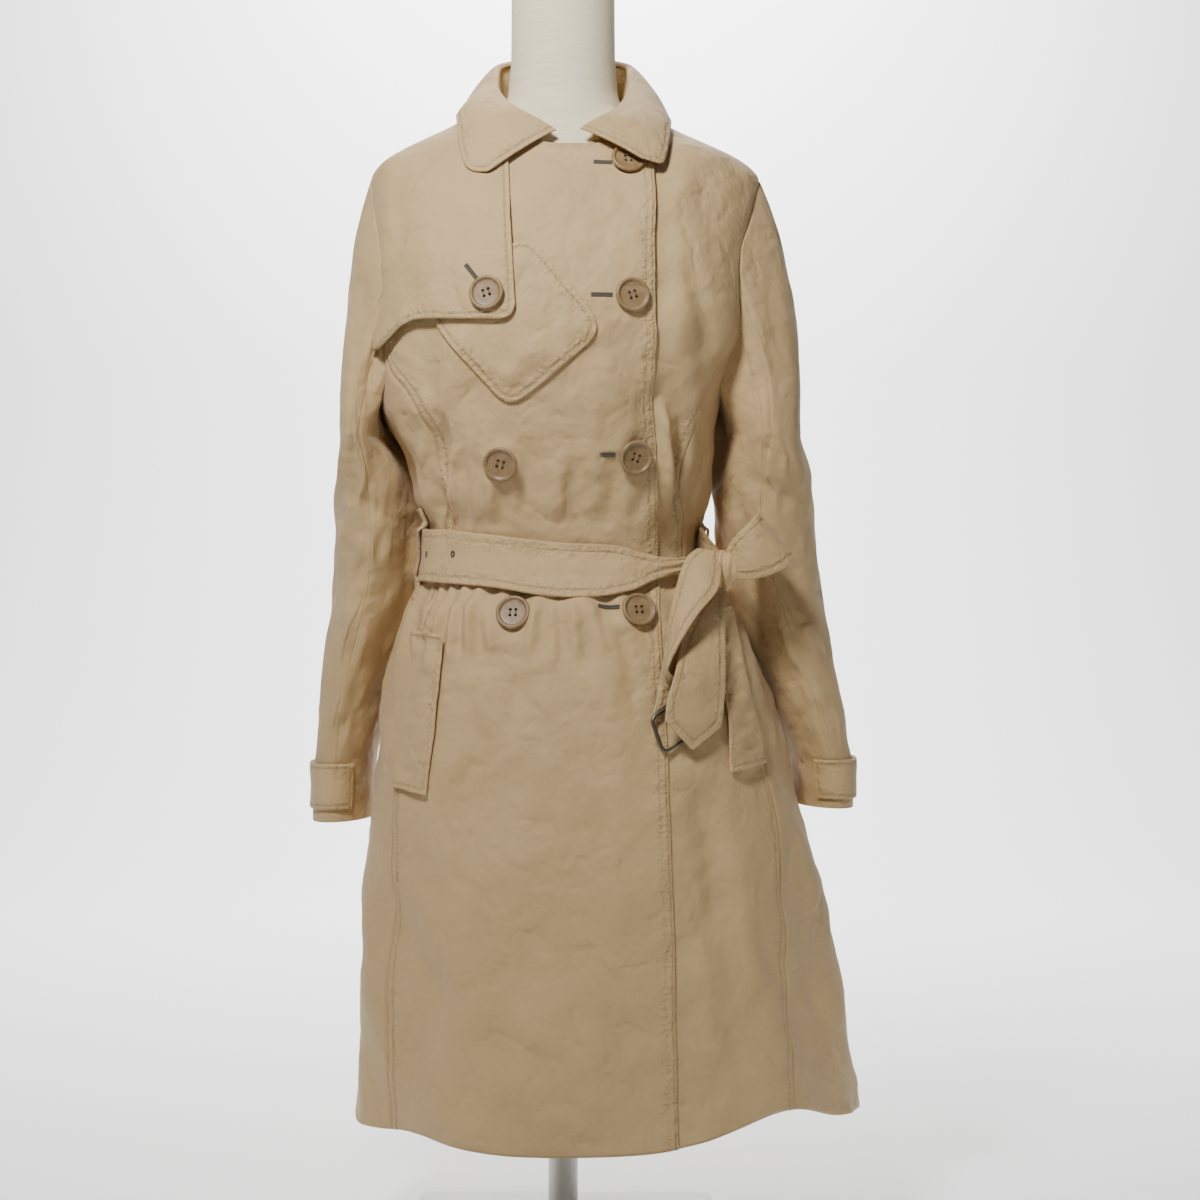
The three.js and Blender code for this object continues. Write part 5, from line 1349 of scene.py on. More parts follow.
def into_knot(outer, inner, at, share):
    """The belt's two ends leave the coat and go on into the knot."""

    def target(name, back):
        x, y, low, high = KNOT_ENDS[name]
        x, y = np.full_like(share, x), np.full_like(share, y + back)
        return np.concatenate([x, y, mix(low, high, share)], 1)[:, None]

    def bridge(first, last, t):
        return first + (last - first) * smooth(t)[None, :, None]

    leaves = int(np.searchsorted(at, SIDE_LEAVES))
    t = np.linspace(0, 1, 40)
    made = []
    for grid, back in ((outer, -BELT_THICK / 2), (inner, BELT_THICK / 2)):
        side = bridge(target("side", back), grid[:, leaves : leaves + 1], mix(KNOT_START, 1, t[:-1]))
        front = bridge(grid[:, -1:], target("front", back), t[1:])
        made.append(np.concatenate([side, grid[:, leaves:], front], 1))
    return made


def sew_belt():
    """The belt with its carriers, its knot, its loop and its two loose ends."""
    at = np.linspace(BELT["at"][0], BELT["at"][-1], 420)
    share = close_ends((0.012, 0.03), 20)[:, None]
    low, high = belt_edges["low"](at), belt_edges["high"](at)
    angle = np.radians(at)[None, :] * np.ones_like(share)
    z = mix(low, high, share)
    wave = 0.5 * np.sin(angle * 9) + 0.4 * np.sin(angle * 17 + 1) + 0.3 * np.sin(angle * 5 + z / 14)
    front, front_reach, side, side_reach = BELT_PINCH
    pinch = smooth((at - front) / front_reach) + smooth((side - at) / side_reach)
    pleat = pinch * 1.2 * np.sin(share * math.pi * 5)
    lifted = BELT_UP + belt_edges["off"](at) + BELT_RISE * np.sin(math.pi * share) + wave * 0.6 + pleat
    places = np.stack([angle, z, lifted], -1)
    outer, inner = coat_wall(places, 0, BELT_THICK, 0)
    outer, inner = into_knot(outer, inner, at, share)
    cloth_piece(
        "belt_band", outer, inner,
        (), ("bottom", "top"), (BELT_INSET,), "belt",
    )
    carrier_up = reader({"z": CARRIER["z"][::-1], "up": CARRIER["up"][::-1]})["up"]
    for name, middle_at in CARRIERS.items():
        z = np.linspace(CARRIER["z"][0], CARRIER["z"][-1], 70)[:, None]
        across = np.linspace(-CARRIER_HALF, CARRIER_HALF, 14)[None, :]
        lifted = carrier_up(z) * np.ones_like(across)
        places = np.stack([np.radians(middle_at + across) * np.ones_like(z), z * np.ones_like(across), lifted], -1)
        folded_in = smooth((z - CARRIER_TOP) / CARRIER_BEND) + smooth((CARRIER_FOOT - z) / CARRIER_BEND)
        outer, inner = coat_wall(places, -lifted * folded_in, LINED, 0)
        node = f"belt_carrier_{name}"
        cloth_piece(
            node, outer, inner,
            (), ("start", "end"), (2.0,), "small",
        )
    sew_ribbon("belt_tail_buckle", ("start", "end"))
    sew_ribbon("belt_tail_point", ("start", "end", "top"))
    sew_ribbon("belt_loop", ("start", "end"))
    tie_knot()


def knot_ring(out, across, turn):
    swell = 1 - 0.12 * across**2
    fold = 1.5 * np.sin(across * 6 + 1.2 * np.sin(turn)) * (1 - across**2)
    return np.stack(
        [
            KNOT["x"] + KNOT["half"] * across + 2.4 * np.cos(turn + 0.5),
            KNOT["y"] - (KNOT["deep"] * swell + out + fold) * np.sin(turn),
            KNOT["z"] + (KNOT["tall"] * swell + out + fold) * np.cos(turn),
        ],
        -1,
    )


def tie_knot():
    """The short turn of the belt round its own lengths."""
    across, turn = np.meshgrid(np.linspace(-1, 1, 34), np.linspace(0, 2 * math.pi, 120, endpoint=False), indexing="ij")
    outer, inner = knot_ring(KNOT["thick"], across, turn), knot_ring(0, across, turn)
    rounding = 2.2 * np.abs(across) ** 8
    away = unit(outer - inner)
    outer = outer - away * rounding[..., None]
    points, faces = closed_wall(outer, inner, ring=True)
    closed = np.concatenate([outer, outer[:, :1]], 1)
    u, v = run_lengths(closed)
    uv = np.tile(np.stack([u[:, :-1], v[:, :-1]], -1).reshape(-1, 2), (2, 1))
    layers = {"line": np.full(len(points), FAR), "edge": np.full(len(points), FAR)}
    knot = mesh_piece("coat_belt_knot", points, faces, finishes["cloth"], ["belt_knot"], uv, layers)
    lay_flat(u, v, grid_area(closed))


def tube(path, radius, sides=16, closed=True):
    """The points and faces of a round bar along a path."""
    count = len(path)
    ahead = unit(np.roll(path, -1, 0) - np.roll(path, 1, 0)) if closed else unit(np.gradient(path, axis=0))
    side = unit(np.cross(ahead, np.array([0.1, 1.0, 0.05])))
    up = np.cross(side, ahead)
    turn = np.linspace(0, 2 * math.pi, sides, endpoint=False)[None, :, None]
    reach = np.broadcast_to(np.asarray(radius, float), (count,))[:, None, None]
    rings = path[:, None] + reach * (np.cos(turn) * side[:, None] + np.sin(turn) * up[:, None])
    number = np.arange(count * sides).reshape(count, sides)
    if closed:
        number = np.concatenate([number, number[:1]])
    number = np.concatenate([number, number[:, :1]], 1)
    a, b, c, d = number[:-1, :-1], number[:-1, 1:], number[1:, 1:], number[1:, :-1]
    faces = np.stack([a, b, c, d], -1).reshape(-1, 4)
    points = rings.reshape(-1, 3)
    if closed:
        return points, outward(points, faces)
    points = np.concatenate([points, path[:1], path[-1:]])
    first, last = len(points) - 2, len(points) - 1
    row = np.arange(sides)
    beside = (row + 1) % sides
    top = (count - 1) * sides
    caps = np.concatenate(
        [
            np.stack([beside, row, np.full(sides, first), np.full(sides, first)], -1),
            np.stack([top + row, top + beside, np.full(sides, last), np.full(sides, last)], -1),
        ]
    )
    return points, np.concatenate([faces, caps])


BUCKLE = {"low": (91, -141, 478), "high": (80, -139, 509), "far": (139.6, -117, 507), "bar": 1.7}
BUCKLE_CORNERS = [
    # across and up the frame, each as a share
    (0.12, 0), (0.5, 0), (0.88, 0), (0.97, 0.05), (1, 0.18), (1, 0.5), (1, 0.82), (0.97, 0.95),
    (0.88, 1), (0.5, 1), (0.12, 1), (0.03, 0.95), (0, 0.82), (0, 0.5), (0, 0.18), (0.03, 0.05),
]
PRONG = [
    # across and up the frame, and how far in front of it
    (0.5, 0.9, 2.6),
    (0.5, 0.5, 3.2),
    (0.5, 0.03, 3),
]
PRONG_RADIUS = 1.15


def buckle_at(u, v, ahead=0.0):
    low, high, far = (np.array(BUCKLE[key], float) for key in ("low", "high", "far"))
    return low + (high - low) * v + (far - low) * u + np.array([0, -ahead, 0])


def make_buckle():
    """The buckle's frame of round bar and the prong that lies across it."""
    corners = np.array([buckle_at(u, v) for u, v in BUCKLE_CORNERS])
    path = spline(corners, np.arange(0, len(corners), 1 / 12), closed=True)
    points, faces = tube(path, BUCKLE["bar"], 20)
    mesh_piece("buckle_bar", points, faces, finishes["metal"], ["buckle_frame"])
    prong = spline(np.array([buckle_at(*place) for place in PRONG]), np.linspace(0, 2, 40))
    blunt = np.clip(np.sqrt(np.linspace(0, 1, 40) * 14), 0.05, 1)
    radius = PRONG_RADIUS * blunt * blunt[::-1]
    points, faces = tube(prong, radius, 14, closed=False)
    mesh_piece("buckle_pin", points, faces, finishes["metal"], ["buckle_prong"])


BUTTONS = {
    # name: x, z, how far it is lifted, and if it lies on the flap
    "left_1": (60, 1013, 0, False),
    "left_2": (63.5, 883, -0.8, False),
    "left_3": (65.5, 741, 0.9, False),
    "left_4": (69, 603, 1.2, False),
    "right_2": (-62.5, 882, 0, True),
    "right_3": (-51.5, 736, 0.4, False),
    "right_4": (-42, 601, 0.2, False),
}
BUTTON_PROFILE = [
    (0, 0.2), (6, 0.1), (11.6, 0.1), (13.4, 0.45), (14.8, 1.1), (15.6, 2.1), (15.65, 3.0), (15.2, 3.9), (14.5, 4.35),
    (13.7, 4.45), (12.9, 4.2), (12.2, 3.55), (11.6, 2.95), (10.6, 2.72), (8, 2.6), (4, 2.55), (0, 2.55),
]
BUTTON_HOLES = {"apart": 2.6, "radius": 1.45}
BUTTON_GAP, BUTTON_TILT, BUTTON_CRISP = 0.5, 0.35, 40
THREAD = {"apart": 0.34, "radius": 0.2}
THREAD_ARC = [
    # across the button as a share of the holes' distance, and height
    (-1, 0.4),
    (-0.66, 2.4),
    (0, 2.75),
    (0.66, 2.4),
    (1, 0.4),
]


def button_mesh():
    """One turned button with four holes, around the origin with its face to +Z."""
    profile = spline(np.array(BUTTON_PROFILE, float), np.linspace(0, len(BUTTON_PROFILE) - 1, 60))
    profile[:, 0] = np.maximum(profile[:, 0], 0)
    builder = bmesh.new()
    turns = np.linspace(0, 2 * math.pi, 72, endpoint=False)
    rings = []
    for radius, height in profile[1:-1]:
        rings.append([builder.verts.new((radius * math.cos(t), radius * math.sin(t), height)) for t in turns])
    ends = [builder.verts.new((0, 0, profile[0, 1])), builder.verts.new((0, 0, profile[-1, 1]))]
    for low, high in zip(rings, rings[1:]):
        for i in range(len(turns)):
            k = (i + 1) % len(turns)
            builder.faces.new((low[i], low[k], high[k], high[i]))
    for i in range(len(turns)):
        k = (i + 1) % len(turns)
        builder.faces.new((rings[0][k], rings[0][i], ends[0]))
        builder.faces.new((rings[-1][i], rings[-1][k], ends[1]))
    bmesh.ops.recalc_face_normals(builder, faces=builder.faces)
    mesh = bpy.data.meshes.new("button")
    builder.to_mesh(mesh)
    builder.free()
    disc = bpy.data.objects.new("button_blank", mesh)
    bpy.context.scene.collection.objects.link(disc)
    drills = []
    for x in (-1, 1):
        for y in (-1, 1):
            builder = bmesh.new()
            radius, apart = BUTTON_HOLES["radius"], BUTTON_HOLES["apart"]
            bmesh.ops.create_cone(
                builder, cap_ends=True, segments=20, radius1=radius, radius2=radius, depth=9,
            )
            bmesh.ops.translate(builder, verts=builder.verts, vec=(x * apart, y * apart, 1.5))
            drill = bpy.data.meshes.new("drill")
            builder.to_mesh(drill)
            builder.free()
            drills.append(bpy.data.objects.new("drill", drill))
            bpy.context.scene.collection.objects.link(drills[-1])
            cut = disc.modifiers.new("cut", "BOOLEAN")
            cut.operation = "DIFFERENCE"
            cut.object = drills[-1]
            cut.solver = "EXACT"
    graph = bpy.context.evaluated_depsgraph_get()
    cut_mesh = bpy.data.meshes.new_from_object(disc.evaluated_get(graph))
    for obj in [disc, *drills]:
        bpy.data.objects.remove(obj)
    return cut_mesh


def turned_to(normal, tilt):
    """The matrix whose columns are a button's own axes on the coat."""
    normal = np.asarray(normal, float)
    side = unit(np.cross(np.array([0, 0, 1.0]), normal))
    up = np.cross(normal, side)
    c, s = math.cos(tilt), math.sin(tilt)
    return np.stack([side * c + up * s, up * c - side * s, normal], 1)


def button_place(name):
    x, z, up, on_flap = BUTTONS[name]
    angle = angle_at(np.array(float(x)), np.array(float(z)))
    under = flap_height(x, z) + LINED if on_flap else CLOTH
    lifted = under + BUTTON_GAP + up + float(lie(angle, np.array(float(z))))
    return on_coat(angle, z, lifted), form_normal(angle, np.array(float(z)))


def sew_buttons():
    """Seven turned buttons, each held by thread through its four holes."""
    blank = button_mesh()
    points = np.empty(len(blank.vertices) * 3)
    blank.vertices.foreach_get("co", points)
    points = points.reshape(-1, 3)
    faces = [list(face.vertices) for face in blank.polygons]
    for number, name in enumerate(BUTTONS):
        place, normal = button_place(name)
        turned = turned_to(normal, BUTTON_TILT * math.sin(number * 2.1))
        moved = points @ turned.T + place
        button = mesh_piece(f"coat_button_{name}", moved, faces, finishes["horn"], [f"button_{name}"])
        mark_sharp(button, BUTTON_CRISP)
        threads = []
        apart = BUTTON_HOLES["apart"]
        for x in (-apart, apart):
            for k in range(3):
                shift = x + (k - 1) * THREAD["apart"]
                arc = np.array([[shift, y * apart, up] for y, up in THREAD_ARC])
                threads.append(tube(spline(arc, np.linspace(0, len(arc) - 1, 17)), THREAD["radius"], 8, closed=False))
        points_all, faces_all, start = [], [], 0
        for thread_points, thread_faces in threads:
            points_all.append(thread_points @ turned.T + place)
            faces_all.extend((thread_faces + start).tolist())
            start += len(thread_points)
        mesh_piece(f"coat_button_thread_{name}", np.concatenate(points_all), faces_all, finishes["button_thread"])


def mark_sharp(obj, degrees):
    """Keeps edges sharper than an angle crisp."""
    obj.data.set_sharp_from_angle(angle=math.radians(degrees))


BUTTONHOLES = [
    # x and z of both ends, and what it is worked in
    ((29, 1011), (46, 1011), "front"),
    ((27, 883), (46, 883), "front"),
    ((29, 743), (48, 743), "front"),
    ((33, 607), (52, 606), "gathers"),
    ((-82, 909), (-71, 895), "flap"),
]
HOLE_HALF, HOLE_RIDGE, HOLE_SUNK, HOLE_PROUD = 1.9, 0.75, 0.4, 0.05


def work_buttonholes():
    """Buttonholes worked in dark thread: two rows of close stitches."""
    for number, (first, last, layer) in enumerate(BUTTONHOLES, 1):
        t = np.linspace(0, 1, 60)[:, None]
        side = np.concatenate([np.linspace(-1, -0.12, 8), np.linspace(0.12, 1, 8)])[None, :]
        direction = unit(np.array(last, float) - np.array(first, float))
        x = mix(first[0], last[0], t) - direction[1] * side * HOLE_HALF
        z = mix(first[1], last[1], t) + direction[0] * side * HOLE_HALF
        under = flap_height(x, z) + LINED if layer == "flap" else CLOTH
        if layer == "gathers":
            under = under + gathered("front_right", angle_at(x, z), z)
        ridge = HOLE_RIDGE * np.sqrt(np.clip(1 - ((np.abs(side) - 0.55) / 0.47) ** 2, 0, 1)) + 0.12 * np.sin(t * 130)
        places = np.stack([angle_at(x, z), z, under + ridge], -1)
        points, faces = closed_wall(*coat_wall(places, -HOLE_SUNK, HOLE_PROUD))
        mesh_piece(f"coat_buttonhole_{number}", points, faces, finishes["dark_thread"])


EYELETS = [(-116.5, 655), (-93, 654.5)]
EYELET = {"across": 1.7, "up": 2.4, "bar": 0.8, "proud": 0.15}


def punch_eyelets():
    """Small eyelets bound with thread, near the right end of the belt's front."""
    for number, (x, z) in enumerate(EYELETS, 1):
        angle = angle_at(np.array(float(x)), np.array(float(z)))
        share = (z - belt_edges["low"](np.degrees(angle))) / BELT_WIDE
        up = BELT_UP + BELT_RISE * math.sin(math.pi * float(share)) + BELT_THICK + EYELET["proud"]
        place = on_coat(angle, z, up)
        turned = turned_to(form_normal(angle, np.array(float(z))), 0)
        turn = np.linspace(0, 2 * math.pi, 40, endpoint=False)
        across, along = EYELET["across"] * np.cos(turn), EYELET["up"] * np.sin(turn)
        ring = np.stack([across, along, 0.1 * np.sin(turn * 10)], -1) @ turned.T + place
        points, faces = tube(ring, EYELET["bar"], 10)
        mesh_piece(f"coat_eyelet_{number}", points, faces, finishes["dark_thread"])


STITCH_UP = 0.12
STITCH = {"Spacing": 0.0034, "Length": 0.0027, "Thickness": 0.0006}
SEAM_DIP, SEAM_REACH = 0.7, 2.2
GROOVE_DEEP, GROOVE_REACH = 0.18, 1.3


def stitch_nodes():
    """Geometry Nodes that lay one stitch after another along curves."""
    tree = bpy.data.node_groups.new("Stitches along seams", "GeometryNodeTree")
    face = tree.interface
    face.new_socket("Seams", in_out="INPUT", socket_type="NodeSocketGeometry")
    for name, value in STITCH.items():
        socket = face.new_socket(name, in_out="INPUT", socket_type="NodeSocketFloat")
        socket.default_value = value
    face.new_socket("Thread", in_out="INPUT", socket_type="NodeSocketMaterial")
    face.new_socket("Stitches", in_out="OUTPUT", socket_type="NodeSocketGeometry")

    def node(kind, **settings):
        made = tree.nodes.new(kind)
        for key, value in settings.items():
            setattr(made, key, value)
        return made

    def join(from_node, output, to_node, entry):
        tree.links.new(from_node.outputs[output], to_node.inputs[entry])

    given = node("NodeGroupInput")
    resample = node("GeometryNodeResampleCurve", mode="LENGTH")
    bead = node("GeometryNodeMeshUVSphere")
    bead.inputs["Segments"].default_value = 5
    bead.inputs["Rings"].default_value = 4
    bead.inputs["Radius"].default_value = 0.5
    size = node("ShaderNodeCombineXYZ")
    shaped = node("GeometryNodeTransform")
    tangent = node("GeometryNodeInputTangent")
    align = node("FunctionNodeAlignRotationToVector", axis="X")
    place = node("GeometryNodeInstanceOnPoints")
    realize = node("GeometryNodeRealizeInstances")
    material = node("GeometryNodeSetMaterial")
    shown = node("NodeGroupOutput")
    join(given, "Seams", resample, "Curve")
    join(given, "Spacing", resample, "Length")
    join(given, "Length", size, "X")
    join(given, "Thickness", size, "Y")
    join(given, "Thickness", size, "Z")
    join(bead, "Mesh", shaped, "Geometry")
    join(size, "Vector", shaped, "Scale")
    join(resample, "Curve", place, "Points")
    join(shaped, "Geometry", place, "Instance")
    join(tangent, "Tangent", align, "Vector")
    join(align, "Rotation", place, "Rotation")
    join(place, "Instances", realize, "Geometry")
    join(realize, "Geometry", material, "Geometry")
    join(given, "Thread", material, "Material")
    join(material, "Geometry", shown, "Stitches")
    return tree


def sew_stitches():
    """Every line of topstitching, from the paths that the pieces left."""
    tree = stitch_nodes()
    sizes = bpy.context.scene.coat_sizes
    for group, paths in stitch_paths.items():
        curve = bpy.data.curves.new(f"seams_{group}", "CURVE")
        curve.dimensions = "3D"
        for path in paths:
            line = curve.splines.new("POLY")
            line.points.add(len(path) - 1)
            places = np.concatenate([path * MM, np.ones((len(path), 1))], 1)
            line.points.foreach_set("co", places.ravel())
        seams_object = bpy.data.objects.new(f"seams_{group}", curve)
        bpy.context.scene.collection.objects.link(seams_object)
        modifier = seams_object.modifiers.new("stitches", "NODES")
        modifier.node_group = tree
        sockets = {item.name: item.identifier for item in tree.interface.items_tree if item.in_out == "INPUT"}
        modifier[sockets["Spacing"]] = sizes.stitch_spacing
        modifier[sockets["Length"]] = sizes.stitch_length
        modifier[sockets["Thickness"]] = sizes.stitch_thickness
        modifier[sockets["Thread"]] = finishes["thread"]
        graph = bpy.context.evaluated_depsgraph_get()
        mesh = bpy.data.meshes.new_from_object(seams_object.evaluated_get(graph))
        mesh.polygons.foreach_set("use_smooth", [True] * len(mesh.polygons))
        stitches = bpy.data.objects.new(f"coat_stitches_{group}", mesh)
        bpy.context.scene.collection.objects.link(stitches)
        bpy.data.objects.remove(seams_object)
        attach(stitches, "root")


FORM = table("z left right front back square_f square_b", [
    (400, -120, 122, -92, 96, 2.1, 2.1),
    (440, -142, 145, -110, 116, 2.1, 2.1),
    (500, -146, 150, -116, 124, 2.1, 2.1),
    (570, -132, 137, -104, 106, 2.1, 2.1),
    (620, -115, 116, -90, 86, 2.1, 2.1),
    (656, -108, 108, -82, 78, 2.1, 2.1),
    (700, -112, 112, -90, 82, 2.1, 2.1),
    (760, -128, 126, -104, 94, 2.1, 2.1),
    (830, -148, 146, -115, 103, 2.1, 2.1),
    (880, -158, 158, -113, 106, 2.1, 2.1),
    (940, -166, 167, -103, 105, 2.1, 2.1),
    (985, -172, 173, -86, 94, 2, 2),
])
NECK_ROWS = [
    # height, half width and half depth
    (1088, 53, 49),
    (1104, 51, 48),
    (1125, 49.5, 48),
    (1182, 49, 48),
]
FORM_UNDER, FORM_TOUCH, CRISP = 6, 0.6, 35
PLATE = {"side": 295, "corner": 14, "thick": 8}
CAP_PROFILE = [
    # radius and height
    (48.6, 1182), (49, 1182.4), (49, 1185), (48.2, 1186.2), (48.6, 1187.4), (48.8, 1190), (48, 1192.6),
    (46, 1194.2), (43, 1195),
]
POLE_PROFILE = [(14, 8), (14, 398.5), (13.4, 400)]
form = reader(FORM)


def stacked(rings):
    """Points and faces of a closed body from a stack of rings, with a fan of quads at its ends."""
    count = rings.shape[1]
    number = np.arange(rings.shape[0] * count).reshape(rings.shape[:2])
    number = np.concatenate([number, number[:, :1]], 1)
    a, b, c, d = number[:-1, :-1], number[:-1, 1:], number[1:, 1:], number[1:, :-1]
    faces = np.stack([a, b, c, d], -1).reshape(-1, 4)
    points = rings.reshape(-1, 3)
    turned = outward(points, faces)
    flip = not np.array_equal(turned, faces)
    lists = turned.tolist()
    first, last = number[0, :-1].tolist(), number[-1, :-1].tolist()
    lists.append(first if flip else first[::-1])
    lists.append(last[::-1] if flip else last)
    return points, lists


def make_form():
    """The form's linen body and neck, the cap on it, and the pole and plate that carry it."""
    turn = np.linspace(0, 2 * math.pi, 128, endpoint=False)
    rings = [section(form, turn, z) for z in np.linspace(FORM["z"][0], FORM["z"][-1], 60)]

    def under_coat(z):
        under = mix(FORM_UNDER, FORM_TOUCH, np.abs(np.sin(turn)) ** 200)
        return section(coat, turn, z) - form_normal(turn, z) * under[:, None]

    shoulder = under_coat(SHOULDER_TIP)
    rings += [mix(rings[-1], shoulder, t) for t in (0.25, 0.5, 0.75)]
    rings += [under_coat(z) for z in np.linspace(SHOULDER_TIP, NECK_POINT, 30)]
    neck = [rings[-1]]
    for z, half, deep in NECK_ROWS:
        neck.append(np.stack([half * np.sin(turn), -deep * np.cos(turn), np.full(len(turn), z)], -1))
    neck = spline(np.array(neck), np.linspace(0, len(NECK_ROWS), 60)[1:])
    points, faces = stacked(np.concatenate([np.array(rings), neck]))
    mesh_piece("form_body", points, faces, finishes["linen"], ["form_torso"])

    def turned_piece(name, node, profile, finish, sides=96):
        t = np.linspace(0, 2 * math.pi, sides, endpoint=False)
        rows = [np.stack([r * np.sin(t), -r * np.cos(t), np.full(sides, z)], -1) for r, z in profile]
        body_points, body_faces = stacked(np.array(rows))
        piece = mesh_piece(name, body_points, body_faces, finish, [node])
        mark_sharp(piece, CRISP)

    turned_piece("form_cap", "neck_cap", CAP_PROFILE, finishes["wood"])
    turned_piece("form_pole", "pole", POLE_PROFILE, finishes["steel"])
    quarter = np.radians(np.linspace(0, 90, 12))

    def plate_ring(z, inset):
        half = PLATE["side"] / 2 - inset
        corner = PLATE["corner"] - inset
        corners = []
        for k, (sx, sy) in enumerate(((1, 1), (-1, 1), (-1, -1), (1, -1))):
            around = quarter + k * math.pi / 2
            x = sx * (half - corner) + corner * np.cos(around)
            y = sy * (half - corner) + corner * np.sin(around)
            corners.append(np.stack([x, y, np.full(12, z)], -1))
        return np.concatenate(corners)

    bevel = [(0, 1), (0.3, 0.3), (1, 0)]
    rows = bevel + [(PLATE["thick"] - z, inset) for z, inset in reversed(bevel)]
    points, faces = stacked(np.array([plate_ring(z, inset) for z, inset in rows]))
    plate = mesh_piece("form_plate", points, faces, finishes["paint"], ["base_plate"])
    mark_sharp(plate, CRISP)


class Number:
    """A number socket of a material, so that its maths reads as Python."""

    def __init__(self, finish, socket):
        self.finish, self.socket = finish, socket

    def math(self, operation, *values):
        return self.finish.node("Math", {"operation": operation}, dict(enumerate(values)))

    def __add__(self, other):
        return self.math("ADD", self, other)

    def __sub__(self, other):
        return self.math("SUBTRACT", self, other)

    def __mul__(self, other):
        return self.math("MULTIPLY", self, other)

    __radd__ = __add__
    __rmul__ = __mul__

    def sin(self):
        return self.math("SINE", self)

    def exp(self):
        return self.math("EXPONENT", self)

    def clamp(self):
        return self.math("MINIMUM", self.math("MAXIMUM", self, 0.0), 1.0)


class Finish:
    """One material: its shader with the settings that hold all over, and the nodes that feed it."""

    def __init__(self, name, **settings):
        self.material = bpy.data.materials.new(name)
        self.material.use_nodes = True
        self.nodes, self.links = self.material.node_tree.nodes, self.material.node_tree.links
        self.shader = self.nodes["Principled BSDF"]
        for key, value in settings.items():
            self.shader.inputs[key.replace("_", " ")].default_value = value

    def node(self, kind, settings=None, values=None, output=0):
        made = self.nodes.new("ShaderNode" + kind)
        for key, value in (settings or {}).items():
            setattr(made, key, value)
        for key, value in (values or {}).items():
            self.feed(made.inputs[key], value)
        return Number(self, made.outputs[output])

    def feed(self, entry, value):
        if isinstance(value, Number):
            self.links.new(value.socket, entry)
        else:
            entry.default_value = value

    def place(self):
        return self.node("TexCoord", output="Object")

    def split(self, vector):
        """The three numbers of a vector."""
        x = self.node("SeparateXYZ", {}, {0: vector})
        return [Number(self, entry) for entry in x.socket.node.outputs]

    def cut(self):
        """The place on the cloth's cut, in metres across and along."""
        return self.split(self.node("UVMap", {"uv_map": "cut"}))[:2]

    def layer(self, name):
        return self.node("Attribute", {"attribute_name": name}, output="Fac")

    def noise(self, scale, detail=3.0, roughness=0.55, vector=None):
        values = {"Scale": scale, "Detail": detail, "Roughness": roughness, "Vector": vector or self.place()}
        return self.node("TexNoise", {}, values)

    def blend(self, share, first, second):
        colour = {"data_type": "RGBA", "clamp_factor": True}
        first = (*first, 1) if isinstance(first, tuple) else first
        return self.node("Mix", colour, {0: share, 6: first, 7: (*second, 1)}, output=2)

    def bump(self, height, distance, strength=1.0):
        values = {"Height": height, "Distance": distance, "Strength": strength}
        self.feed(self.shader.inputs["Normal"], self.node("Bump", {}, values))

    def paint(self, colour=None, roughness=None):
        if colour is not None:
            self.feed(self.shader.inputs["Base Color"], colour)
        if roughness is not None:
            self.feed(self.shader.inputs["Roughness"], roughness)


def linear(colour):
    """A colour as seen, 0 to 255, as the shader counts it."""
    return tuple(c / 255 / 12.92 if c <= 10 else ((c / 255 + 0.055) / 1.055) ** 2.4 for c in colour)


def tone(colour, share):
    return tuple(c * share for c in colour)


COLOURS = {
    "cloth": linear((196, 166, 119)),
    "horn": linear((142, 108, 62)),
    "horn_rim": linear((158, 134, 101)),
    "linen": linear((240, 227, 194)),
    "dark_thread": linear((74, 68, 56)),
    "brown_thread": linear((92, 76, 56)),
    "nickel": linear((120, 110, 96)),
    "steel": linear((176, 174, 168)),
    "wood": linear((84, 62, 42)),
    "enamel": linear((185, 184, 180)),
    "paper": linear((251, 251, 251)),
}
finishes = {}
TWILL_PITCH = 0.0009
THREAD_PITCH = 0.00055
LINEN_PITCH = 0.0011


def cloth_finish(colour):
    """Beige cotton twill: fine diagonal ribs, a soft sheen, puckers along its stitches, painted shade in the grooves
    of its stitch lines, and random patches of tone that are partly its uneven colour and partly painted sheen.
    """
    cloth = Finish("Beige cotton twill", Sheen_Weight=0.1, Sheen_Roughness=0.45, Specular_IOR_Level=0.3)
    across, along = cloth.cut()
    rib = ((across + along * 0.72) * (2 * math.pi / TWILL_PITCH)).sin()
    threads = (along * (2 * math.pi / THREAD_PITCH)).sin() * 0.35
    line = cloth.layer("line")
    groove = (line * line * -0.9).exp()
    pucker_reach = (line * line * -0.022).exp()
    pucker = cloth.noise(230, 2, 0.5)
    wrinkle = cloth.noise(26, 4, 0.55)
    slack = cloth.noise(9, 3, 0.5)
    height = rib * 0.035 + threads * 0.02 + pucker_reach * (pucker - 0.5) * 3.2 - groove * 0.5
    fold = (cloth.noise(15, 3, 0.5) - 0.5) * 9
    height = height + (wrinkle - 0.5) * 5.5 + (slack - 0.5) * 12 - (fold * fold * -6).exp() * 0.9
    cloth.bump(height, MM, 0.9)
    # random lighter and darker patches of the cloth's colour: partly its uneven tone, partly painted sheen
    patchy_tone_and_sheen = (cloth.noise(14, 4, 0.6) - 0.5) * 1.6 + 0.5
    mottled = cloth.blend(patchy_tone_and_sheen.clamp(), tone(colour, 0.92), tone(colour, 1.05))
    thready = cloth.blend((rib * 0.5 + 0.5) * 0.22, mottled, tone(colour, 0.8))
    edge = cloth.layer("edge")
    rubbed = (edge * -1.1).exp() * 0.35
    worn = cloth.blend(rubbed.clamp(), thready, tone(colour, 1.16))
    # painted shade: the colour darkens to a much darker tone along the sunk grooves of the stitch lines
    painted_groove_shade = cloth.blend((groove * 0.5).clamp(), worn, tone(colour, 0.55))
    cloth.paint(painted_groove_shade, (cloth.noise(60, 2, 0.5) * 0.16 + 0.56).clamp())
    return cloth.material


